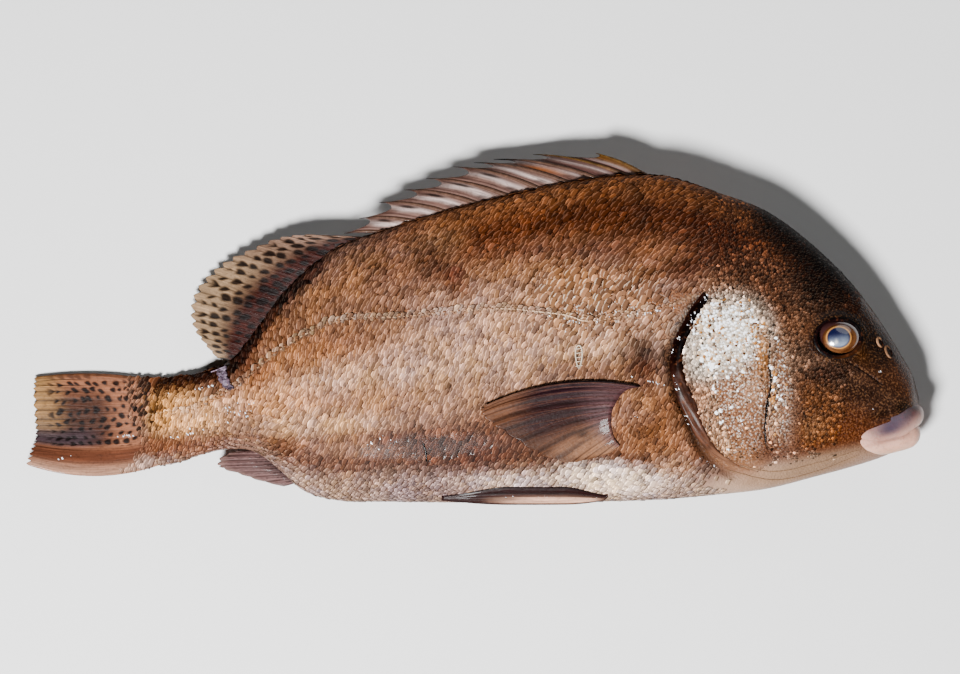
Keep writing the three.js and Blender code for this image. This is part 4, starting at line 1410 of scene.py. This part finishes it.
def spiny_membrane():
    """The web between the spines: whitish streaks on grey pink, with dark marks behind the tips."""
    webs = len(SPINE_TIPS) - 1
    free_tip = 0.17
    v, u = np.meshgrid(np.linspace(0, 1, 34), np.linspace(0, 1, webs * 22 + 1), indexing="ij")
    along = u * webs
    k = np.minimum(webs - 1, along.astype(int))
    f = along - k
    t = v * (1 - free_tip * (1 - 0.6 * np.abs(2 * f - 1) ** 3) - 0.1 * np.sin(math.pi * f))
    a, b = spine_point(k, t), spine_point(k + 1, t)
    middle = a + (b - a) * f[..., None]
    middle[..., 2] += 0.35 * np.sin(math.pi * f) * v
    tone = plain(u, 156, 134, 126)
    wander = 0.4 + 0.07 * np.sin(2.3 * along) + 0.05 * np.sin(9 * v + along)
    tone = paint(tone, 0.85 * np.exp(-(((f - wander) / 0.15) ** 2)) * ramp(v, 0.1, 0.35), (216, 202, 198))
    tone = paint(tone, 0.6 * np.exp(-(((f - 0.72) / 0.06) ** 2)), (104, 74, 72))
    tone = paint(tone, 0.7 * ramp(np.abs(f - 0.5), 0.42, 0.5), (66, 40, 38))
    tone = paint(tone, 0.55 * ramp(3.4 - along, 0, 1.6), (120, 88, 86))
    tone = paint(tone, 0.55 * ramp(v, 0.72, 0.95), (104, 76, 66))
    tone = paint(tone, 0.6 * np.exp(-np.hypot((along - 2.6) / 0.3, (v - 0.6) / 0.2) ** 2), (190, 134, 62))
    tone = paint(tone, 0.7 * ramp(0.6 - along, 0, 0.4), (140, 110, 50))
    marks = np.exp(-np.hypot((f - 0.22) / 0.1, (v - 0.72) / 0.16) ** 4) * ramp(along, 2.8, 4)
    tone = paint(tone, 0.9 * marks, (34, 18, 26))
    low_marks = np.exp(-np.hypot((f - 0.55) / 0.13, (v - 0.32) / 0.07) ** 4) * ramp(along, 1.5, 3)
    tone = paint(tone, 0.7 * low_marks, (70, 50, 48))
    tone = paint(tone, 0.8 * ramp(0.22 - v, 0, 0.1), (66, 38, 26))
    thick = 0.7 - 0.4 * v
    lie = np.stack([along * 9, v * 1.6, 0 * u], -1)
    sheet_piece("spiny_membrane", middle, thick, (0, 0, 1), FIN, {"tone": tone, "lie": lie})


dorsal_spines()
spiny_membrane()


# Soft fins: soft dorsal, tail, anal and pectoral fins, each a fan of jointed rays that fork once on
# their way out, with a thin spotted membrane between them that frays a little between the tips.
class Fan:
    """A fan between a root curve and a tip curve. place puts a flat point where the fin lies."""

    def __init__(self, rays, root, tip, place, notch, bow=lambda u: 0 * u):
        self.rays = rays
        self.root = smooth_line(root)
        self.tip = smooth_line(tip)
        self.place = place
        self.notch = notch
        self.bow = bow

    def point(self, u, v):
        gap = zigzag(u * self.rays)
        reach = 1 - self.notch * gap**1.4
        a, b = self.root(u), self.tip(u)
        flat = a + (b - a) * (v * reach)[..., None]
        side = np.stack([b[..., 1] - a[..., 1], a[..., 0] - b[..., 0]], -1)
        flat = flat + side * (self.bow(u) * v * (1 - v))[..., None]
        return self.place(flat[..., 0], flat[..., 1], a[..., 0], u, v)

    def length(self, u):
        """How far the fan reaches from its root to its tip."""
        return np.linalg.norm(self.tip(u) - self.root(u), axis=-1)

    def membrane(self, name, tone_at, rows, per_ray=10, thick=0.6, facing=(0, 0, 1)):
        v, u = np.meshgrid(np.linspace(0, 1, rows), np.linspace(0, 1, self.rays * per_ray + 1), indexing="ij")
        middle = self.point(u, v)
        length = self.length(u)
        gap = zigzag(u * self.rays)
        tone = tone_at(u, v, gap, length * v)
        lie = np.stack([u * self.rays * 4, length * v * 0.05, 0 * u], -1)
        body = thick * (1 - 0.55 * v) * (1 - 0.15 * gap)
        sheet_piece(name, middle, body, facing, FIN, {"tone": tone, "lie": lie})

    def strands(self, name, tone_at, radius, steps=44, fork=0.42, spread=0.2, lift=0.12):
        """Two strands a ray that run together up to the fork and part beyond it."""
        k = np.repeat(np.arange(self.rays), 2)
        part = np.tile([-1.0, 1.0], self.rays)
        v, _ = np.meshgrid(np.linspace(0, 0.985, steps), k)
        away = spread * ramp(v, fork, 1.25) * 1.6 * part[:, None]
        u = (k[:, None] + 0.5 + away) / self.rays
        points = self.point(u, v)
        points[..., 2] += lift
        length = self.length(u)
        gap = zigzag(u * self.rays)
        joint = 1 + 0.16 * np.cos(length * v * 2.4)
        radii = radius * (1 - 0.72 * v) * joint
        grow_rays(name, points, radii, tone_at(u, v, gap, length * v))


def ray_spots(fan, u, along, pitch, size, seed, stretch, width):
    """Dark lozenges in the gaps between rays, staggered from gap to gap."""
    return spots(along, (u * fan.rays + 0.5) * width, pitch, width, size, seed, 0, stretch)


def dorsal_place(x, y, root_x, u, v):
    p = sagging(x, y, root_x)
    p[..., 2] += 0.5 * v * np.sin(u * 23)
    return p


SOFT_DORSAL_ROOTS = np.array([-46, -62, -74, -85, -94, -102, -109, -115, -119])
SOFT_DORSAL = Fan(
    20,
    [(x, rib(x)[0] - 3) for x in SOFT_DORSAL_ROOTS],
    [(-69, 46), (-87, 46.4), (-99, 44.6), (-111, 39.6), (-123, 34), (-132, 27.4), (-139.4, 18.6),
     (-142, 8.6), (-140.3, -0.6), (-135, -8), (-129, -15)],
    dorsal_place, 0.075,
)


def soft_dorsal_tone(u, v, gap, along):
    tone = plain(u, 96, 54, 42)
    tone = paint(tone, ramp(v, 0.3, 0.8) * ramp(u, 0.1, 0.5), (180, 160, 138))
    tone = paint(tone, 0.85 * ramp(v, 0.3, 0.8) * ramp(0.5 - u, 0, 0.4), (176, 154, 140))
    tone = paint(tone, 0.7 * ramp(gap, 0.7, 0.95) * ramp(v, 0.3, 0.7), (48, 27, 20))
    dark = ray_spots(SOFT_DORSAL, u, along, 6.6, 1.12, 21, 2.2, 3.4)
    return paint(tone, 0.95 * dark * ramp(0.97 - v, 0, 0.1), (46, 20, 14))


SOFT_DORSAL.membrane("soft_dorsal_fin", soft_dorsal_tone, 54)
SOFT_DORSAL.strands("soft_dorsal_rays", lambda u, v, g, s: soft_dorsal_tone(u, v, 0.4 + 0 * g, s), 0.26)


def tail_place(x, y, root_x, u, v):
    lobe = np.maximum(0, (u - 0.7) / 0.3)
    middle = section(TAIL_ROOT)[5]
    lie = middle + 1.2 + (0.1 - middle) * v
    wave = 0.6 * v * (1 + np.sin(u * 9)) + 0.03 * v * np.sin(u * 60)
    return np.stack([x, y, lie + wave + 3.2 * v * np.sin(lobe * math.pi * 0.6)], -1)


TAIL_FIN = Fan(
    15,
    [(-154, -27.5), (-151, -38), (-150, -48), (-151.5, -58), (-156, -68.5)],
    [(-220.4, -24.4), (-221, -32), (-220.4, -46), (-219.9, -54.6), (-222.4, -62), (-224.6, -69.2)],
    tail_place, 0.03, lambda u: 0.17 - 0.5 * u,
)


def tail_tone(u, v, gap, along):
    tone = plain(u, 170, 132, 110)
    middle = ramp(u, 0.1, 0.3) * ramp(0.72 - u, 0, 0.08)
    tone = paint(tone, 0.85 * ramp(v, 0.35, 0.55) * middle, (74, 42, 30))
    tone = paint(tone, ramp(v, 0.72, 0.98) * ramp(0.6 - u, 0, 0.1), (176, 148, 112))
    grey = ramp(v, 0.78, 0.95) * ramp(u, 0.3, 0.45) * ramp(0.64 - u, 0, 0.1)
    tone = paint(tone, 0.7 * grey, (142, 124, 106))
    violet = np.exp(-(((u - 0.6) / 0.1) ** 4)) * ramp(v, 0.45, 0.7)
    tone = paint(tone, 0.85 * violet, (104, 92, 98))
    tone = paint(tone, ramp(u, 0.68, 0.76), (138, 102, 84))
    tone = paint(tone, 0.9 * ramp(u, 0.82, 0.96), (188, 158, 140))
    tone = paint(tone, 0.7 * ramp(0.06 - u, 0, 0.05), (110, 76, 48))
    lines = ramp(gap, 0.68, 0.95) * ramp(v, 0.5, 0.85)
    tone = paint(tone, 0.75 * lines * (1 - 0.6 * ramp(u, 0.68, 0.76)), (50, 28, 22))
    dark = spots(along, u * 46, 4.7, 3.6, 1.05, 31, 4, 1.3)
    faded = ramp(0.71 - u, 0, 0.04) * ramp(0.97 - v, 0, 0.12) * (0.5 + 0.5 * ramp(u, 0.02, 0.1))
    return paint(tone, 0.97 * dark * faded, (48, 20, 12))


def tail_foot_scales():
    """Scales of the tail root that run out in ever smaller rows between the first of the rays."""
    rng = np.random.default_rng(12)
    v, u = np.meshgrid(np.arange(0.07, 0.36, 0.017), np.linspace(0.03, 0.97, 13), indexing="ij")
    shift = 0.036 * (np.arange(len(v)) % 2)[:, None]
    u = np.clip(u + shift + rng.uniform(-0.01, 0.01, u.shape), 0.02, 0.98).ravel()
    v = (v + rng.uniform(-0.006, 0.006, v.shape)).ravel()
    kept = v < 0.27 + 0.06 * np.sin(u * 7) + rng.uniform(-0.05, 0.05, len(v))
    u, v = u[kept], v[kept]
    at = TAIL_FIN.point(u, v) + np.array([0, 0, 0.4])
    ahead = unit(TAIL_FIN.point(u, v - 0.02) - TAIL_FIN.point(u, v + 0.02))
    down = unit(TAIL_FIN.point(u + 0.01, v) - TAIL_FIN.point(u - 0.01, v))
    along = TAIL_FIN.length(u) * v
    tone = tail_tone(u, v, 0 * u, along)
    tone = tone + ramp(0.3 - v, 0, 0.2)[:, None] * (hide_tone(at[:, 0], at[:, 1]) - tone)
    tone = softened(paint(tone, 0.9 * hide_spots(at[:, 0], at[:, 1]), (40, 18, 10)))
    tone = tone * np.exp(rng.normal(0, 0.3, (len(u), 1)))
    small = 1.25 - 2.0 * v
    spread = np.stack([2.6 * small, 3.9 * small, 0.7 * small], -1)
    turn = rng.uniform(18, 40, len(u))
    guide = seat_guide("tail_foot_seats", at, ahead, down, spread, tone, 0 * u, 1, turn)
    grow_scales("tail_foot_scales", guide, 0.2, 6)


tail_foot_scales()
TAIL_FIN.membrane("tail_fin", tail_tone, 110, 12, 0.7)
TAIL_FIN.strands("tail_rays", lambda u, v, g, s: tail_tone(u, v, 0.4 + 0 * g, s), 0.24, 56, lift=0.0)


def anal_place(x, y, root_x, u, v):
    return np.stack([x, y, section(root_x)[5] - 5 * v**2], -1)


ANAL_FIN = Fan(
    8,
    [(-97, -62), (-95.5, -67), (-92, -72), (-88, -77.5)],
    [(-118, -61.4), (-127, -65), (-128.4, -68.8), (-126.4, -70.4),
     (-117, -73.4), (-108, -76.4), (-95.4, -79.6)],
    anal_place, 0.05,
)


def anal_tone(u, v, gap, along):
    tone = plain(u, 146, 124, 122)
    tone = paint(tone, 0.8 * ramp(0.35 - v, 0, 0.3), (70, 48, 54))
    tone = paint(tone, 0.7 * ramp(gap, 0.5, 0.95), (84, 58, 52))
    return paint(tone, 0.4 * ramp(v, 0.8, 1), (170, 150, 142))


ANAL_FIN.membrane("anal_fin", anal_tone, 36)
ANAL_FIN.strands("anal_rays", anal_tone, 0.6)


def pectoral_fan(side):
    def place(x, y, root_x, u, v):
        clear = np.where(v < 0.05, -1.6 + 60 * v, 1.4 + 1.2 * v**2 + 0.35 * np.sin(u * 37) * v)
        return skin(x, y, side, clear, 0.85)

    return Fan(
        12,
        [(85, -29.5), (77, -31.5), (71, -39), (69, -46), (70, -54), (72.5, -58.5)],
        [(5.6, -38.2), (3, -41.4), (4.8, -45), (14.6, -51.8), (29.6, -61.2), (45.6, -67),
         (56, -65.8), (67.4, -62.8)],
        place, 0.03, lambda u: 0.34 * (1 - u) ** 1.5,
    )


def pectoral_tone(u, v, gap, along):
    tone = plain(u, 84, 50, 50)
    tone = paint(tone, 0.7 * np.exp(-np.hypot((u - 0.15) / 0.14, (v - 0.45) / 0.25) ** 2), (74, 48, 66))
    tone = paint(tone, 0.85 * ramp(u, 0.45, 0.8), (176, 144, 120))
    tone = paint(tone, 0.6 * ramp(v, 0.75, 0.95), (112, 82, 56))
    tone = paint(tone, 0.75 * ramp(v, 0.6, 0.9) * ramp(0.45 - u, 0, 0.2), (150, 118, 96))
    tone = paint(tone, 0.75 * ramp(0.4 - v, 0, 0.3), (130, 104, 106))
    tone = paint(tone, 0.9 * ramp(0.05 - u, 0, 0.03) * ramp(0.85 - v, 0, 0.2), (22, 14, 26))
    tone = paint(tone, 0.6 * ramp(gap, 0.5, 0.95), (56, 32, 34))
    return paint(tone, 0.8 * np.exp(-np.hypot((u - 0.62) / 0.025, (v - 0.42) / 0.07) ** 2), (40, 22, 20))


def pectoral_ray_tone(u, v, gap, along):
    return paint(pectoral_tone(u, v, 0 * gap, along), 0.22 + 0 * u, (170, 136, 118))


for side, hand in SIDES:
    fan = pectoral_fan(side)
    fan.membrane("pectoral_fin_" + hand, pectoral_tone, 60, facing=(0, 0, side))
    fan.strands(
        "pectoral_rays_" + hand, pectoral_ray_tone, 0.3,
        fork=0.2, spread=0.24, lift=0.1 * side,
    )


# Pelvic fins: folded narrow against the belly, one each side of its keel, so that only a dark slick
# slice of each shows from the flank.
def pelvic_fin(side, name):
    columns, rows = 61, 60
    v, u = np.meshgrid(np.linspace(0, 1, rows), np.linspace(0, 1, columns), indexing="ij")
    x = 68 - 84 * v
    _, belly, widest, high, low, middle = section(x)
    spread = (0.12 + 0.88 * ramp(v, -0.06, 0.28)) * (0.15 + 0.85 * ramp(1 - v, -0.05, 0.4))
    off = 8 + (u - 0.5) * 11 * spread
    thick = high if side > 0 else low
    t = (1 - (off / thick) ** BELLY_CURVE[1]) ** (1 / BELLY_CURVE[0])
    clear = np.where(v < 0.04, -1.5 + 60 * v, 0.9)
    gap = zigzag(u * 5)
    y = widest - (widest - belly) * t - clear + 0.35 * np.cos(u * 10 * math.pi) * ramp(v, 0, 0.2)
    tone = plain(u, 84, 50, 46)
    tone = paint(tone, 0.7 * ramp(gap, 0.4, 0.9), (40, 22, 24))
    tone = paint(tone, 0.5 * ramp(u, 0.6, 0.9), (72, 44, 46))
    pale = np.exp(-(((u - 0.42) / 0.24) ** 4)) * ramp(v, 0.02, 0.12) * ramp(0.8 - v, 0, 0.4)
    tone = paint(paint(tone, 0.9 * pale, (222, 192, 174)), 0.6 * ramp(0.12 - u, 0, 0.1), (86, 74, 74))
    lie = np.stack([u * 20, v * 4, 0 * u], -1)
    body = (1.3 - 0.5 * v) * (1 - 0.4 * gap)
    sheet = np.stack([x, y, middle + side * off], -1)
    sheet_piece(name, sheet, body, (0, -1, 0), FIN, {"tone": tone, "lie": lie})


pelvic_fin(1, "pelvic_fin_right")
pelvic_fin(-1, "pelvic_fin_left")


# Seams: a crisp painted shadow line down the cheek along the cheek plate's edge, painted shade in the crease
# before the eye, and the fine folds of the throat. Each is a thread of skin that lies on whatever is below
# it.
def seam(name, line, side, half, colour, saw=0.0):
    t, s = np.meshgrid(np.linspace(0, 1, 200), np.linspace(-1, 1, 3), indexing="ij")
    p = line(t)
    way = unit(np.gradient(line(t[:, 0]), axis=0))[:, None]
    teeth = saw * zigzag(t * 42) * ramp(t, 0.4, 0.6) * (s > 0)
    wide = half * taper(2 * t - 1) ** 0.5 * (1 + 0.3 * np.sin(t * 61) + 0.2 * np.sin(t * 23)) + teeth
    x = p[..., 0] - way[..., 1] * wide * s
    y = p[..., 1] + way[..., 0] * wide * s
    flat = skin(x, y, side, 0.1, 0.3).reshape(-1, 3)
    middle = settle_on_plates(flat, side).reshape(x.shape + (3,)) + np.array([0, 0, side * 0.3])
    middle[..., 2] = np.maximum(middle[..., 2], 0.1)
    tone = plain(x, *colour)
    sheet_piece(name, middle, np.full(x.shape, 0.14), (0, 0, side), HIDE, {"tone": tone})


for side, hand in SIDES:
    # A painted shadow line down the cheek, and painted shade in the snout crease.
    seam("cheek_seam_" + hand, CHEEK_EDGE, side, 0.5, (22, 9, 7), 0.5)
    seam("snout_crease_" + hand, CHEEK_CREASE, side, 0.18, (48, 25, 17))
    for number in (0, 2):
        seam("throat_fold_" + str(number) + "_" + hand, THROAT_FOLDS[number], side, 0.2, (174, 150, 128))


# Glints: painted highlights, small near-white scales that stand for light caught by beads of water and slime
# along the gill slit, the tail root and the fins. Each is dropped straight down on to whatever piece lies
# below it.
def wet_glints():
    rng = np.random.default_rng(17)
    clusters = [
        (115.5, 14.5, 1, 2.4, -35, 6), (108, 4, 0.8, 2.6, -30, 9), (102, -5.5, 0.6, 3, -25, 4),
        (98.6, -13, 0.5, 4, -10, 4), (100.6, -28, 0.8, 6, 14, 6), (106, -45, 0.9, 7, 20, 5),
        (45, -84.6, 12, 0.3, 0, 14), (17, -84.6, 2, 0.3, 0, 3),
        (115, -67, 7, 1, -28, 9), (-173.5, -54.6, 5, 0.7, 6, 8), (-206, -66, 4.5, 0.5, 8, 5),
        (-120, -43, 12, 3.2, 14, 26), (-140, -53, 12, 2, 10, 12), (-133, -30, 16, 1, 10, 8),
        (80.7, -45.4, 1, 2.6, 0, 5), (90, -27.6, 7, 0.5, -14, 12), (88, 7.4, 8, 1, 10, 12),
        (45, 3.6, 10, 0.8, -12, 8), (203, -22.3, 0.8, 0.5, 0, 2), (-44, -56, 6, 3, 0, 8),
        (201, -41.5, 3, 0.5, -10, 4), (60, 3, 20, 12, 0, 10),
    ]
    spread = []
    for x, y, rx, ry, lean, count in clusters:
        a = math.radians(lean)
        u, v = rng.normal(0, 0.6, (2, count))
        spread.append(np.stack([
            x + u * rx * math.cos(a) - v * ry * math.sin(a), y + u * rx * math.sin(a) + v * ry * math.cos(a),
        ], -1))
    bpy.context.view_layer.update()
    graph = bpy.context.evaluated_depsgraph_get()
    at, normal = [], []
    for x, y in np.vstack(spread):
        start = Vector(((x + TO_FRAME[0]) * MM, (y + TO_FRAME[1]) * MM, 0.2))
        hit, place, facing = bpy.context.scene.ray_cast(graph, start, Vector((0, 0, -1)))[:3]
        if hit:
            at.append(np.array(place) / MM - TO_FRAME)
            normal.append(facing)
    at, normal = np.array(at), unit(np.array(normal) + np.array([0, 0, 0.6]))
    ahead = unit(np.cross(np.array([0, 1.0, 0]), normal))
    down = np.cross(ahead, normal)
    size = rng.uniform(0.4, 1.2, (len(at), 1)) * np.array([1.0, 0.5, 0.4])
    tone = plain(at[:, 0], 244, 246, 252)
    turn = rng.uniform(20, 80, len(at))
    guide = seat_guide("glint_seats", at, ahead, down, size, tone, 1 + 0 * at[:, 0], 1, turn)
    grow_scales("wet_glints", guide, 0.3, 2)


wet_glints()


# Marks as shown: a whitish strip of torn skin behind the soft dorsal fin, and a small pale wound
# with cross ridges, like a ladder, on the flank above the pectoral fin.
def torn_strip():
    v, u = np.meshgrid(np.linspace(0, 1, 60), np.linspace(-1, 1, 16), indexing="ij")
    line = smooth_line([(-129, -16), (-126.5, -20.5), (-125.3, -25.5), (-121.5, -31)])
    p = line(v)
    x = p[..., 0] + u * (2.9 - 1.1 * v) + 0.4 * np.sin(v * 31 + u * 4)
    y = p[..., 1] + 0.5 * u + 0.3 * np.sin(u * 9 + v * 17)
    back = rib(x)[..., 0]
    y = np.minimum(y, back - 0.6)
    middle = skin(x, y, 1, 0.9 + 0.45 * np.sin(v * 27 + 3 * u) * np.cos(u * 5) + 0.2 * np.sin(v * 71))
    tone = plain(u, 190, 176, 190)
    tone = paint(tone, 0.6 * ramp(np.sin(v * 23 + 4 * u), 0, 0.9), (140, 120, 136))
    tone = paint(tone, 0.8 * ramp(v, 0.86, 1), (60, 40, 40))
    tone = paint(tone, 0.5 * ramp(np.abs(u), 0.7, 1), (96, 70, 72))
    sheet_piece("torn_strip", middle, np.full(u.shape, 0.5), (0, 0, 1), SLICK, {"tone": tone})


WOUND_X, WOUND_Y = 52.1, -14.5


def wound():
    turn = np.linspace(0, 2 * math.pi, 72, endpoint=False)
    x = WOUND_X + 2.1 * np.cos(turn) * (0.75 + 0.25 * np.sin(turn))
    y = WOUND_Y + 5.6 * np.sin(turn)
    path = skin(x, y, 1, 0.55)
    points, faces, uv = looped(path, np.full(72, 0.3), np.full(72, 0.34), 8)
    tone = plain(points[:, 0], 226, 214, 200)
    new_piece("wound_edge", points, faces, SLICK, "fish", {"tone": tone}, uv)
    rungs = np.linspace(-19, -10.5, 5)
    across = np.linspace(-1, 1, 9)
    strands = np.stack([skin(WOUND_X + across * 1.6, h + 0.3 * across, 1, 0.55) for h in rungs])
    tones = plain(strands[..., 0], 220, 206, 190)
    grow_rays("wound_rungs", strands, np.full(strands.shape[:2], 0.26), tones)


torn_strip()
wound()
seam("scratch", smooth_line([(-25.2, -57.5), (-24, -61.5), (-23.4, -66.8)]), 1, 0.5, (24, 12, 10))


# The stage: a pale floor, soft light from the belly side, and a camera that looks straight down on
# the fish as the photograph does.
VIEW_CENTRE = (3.125, -4.75)
VIEW_WIDTH = 480.0
CAMERA_HEIGHT = 4200.0
VIEW_PLANE = 14.0
SENSOR = 36.0
FLOOR_REACH = 3.0


def floor():
    finish = Finish("pale_floor", Roughness=0.6)
    grain = finish.noise(40, finish.place(), 2.0)
    finish.wear(Base_Color=finish.mix(0.04 * grain, rgb(245, 245, 245), rgb(200, 200, 200)))
    mesh = bpy.data.meshes.new("floor")
    corners = [(-1, -1), (1, -1), (1, 1), (-1, 1)]
    mesh.from_pydata([(a * FLOOR_REACH, b * FLOOR_REACH, -0.0004) for a, b in corners], [], [(0, 1, 2, 3)])
    mesh.materials.append(finish.material)
    bring_in("floor", mesh)


def soft_light(name, place, size, power):
    lamp = bpy.data.lights.new(name, "AREA")
    lamp.shape = "DISK"
    lamp.size = size
    lamp.energy = power
    piece = bring_in(name, lamp)
    piece.location = place
    piece.rotation_euler = (-Vector(place)).to_track_quat("-Z", "Y").to_euler()


def camera():
    data = bpy.data.cameras.new("overhead")
    data.sensor_width = SENSOR
    data.lens = SENSOR * (CAMERA_HEIGHT - VIEW_PLANE) / VIEW_WIDTH
    piece = bring_in("overhead", data)
    x, y = VIEW_CENTRE
    piece.location = ((x + TO_FRAME[0]) * MM, (y + TO_FRAME[1]) * MM, CAMERA_HEIGHT * MM)
    bpy.context.scene.camera = piece


def studio():
    """Grey walls under a dark ceiling, so that the wet skin mirrors no sky straight back."""
    world = bpy.data.worlds.new("studio")
    world.use_nodes = True
    tree = world.node_tree
    where = tree.nodes.new("ShaderNodeTexCoord")
    split = tree.nodes.new("ShaderNodeSeparateXYZ")
    rise = tree.nodes.new("ShaderNodeMapRange")
    rise.interpolation_type = "SMOOTHSTEP"
    for name, value in (("From Min", 0.1), ("From Max", 0.7), ("To Min", 0.07), ("To Max", 0.01)):
        rise.inputs[name].default_value = value
    tree.links.new(where.outputs["Generated"], split.inputs[0])
    tree.links.new(split.outputs["Z"], rise.inputs["Value"])
    tree.links.new(rise.outputs["Result"], tree.nodes["Background"].inputs["Strength"])
    bpy.context.scene.world = world


floor()
soft_light("key", (-0.4, -0.85, 1.45), 0.45, 128)
soft_light("fill", (0.8, 1.3, 1.0), 1.8, 13)
camera()
studio()
bpy.data.objects.remove(FORM)
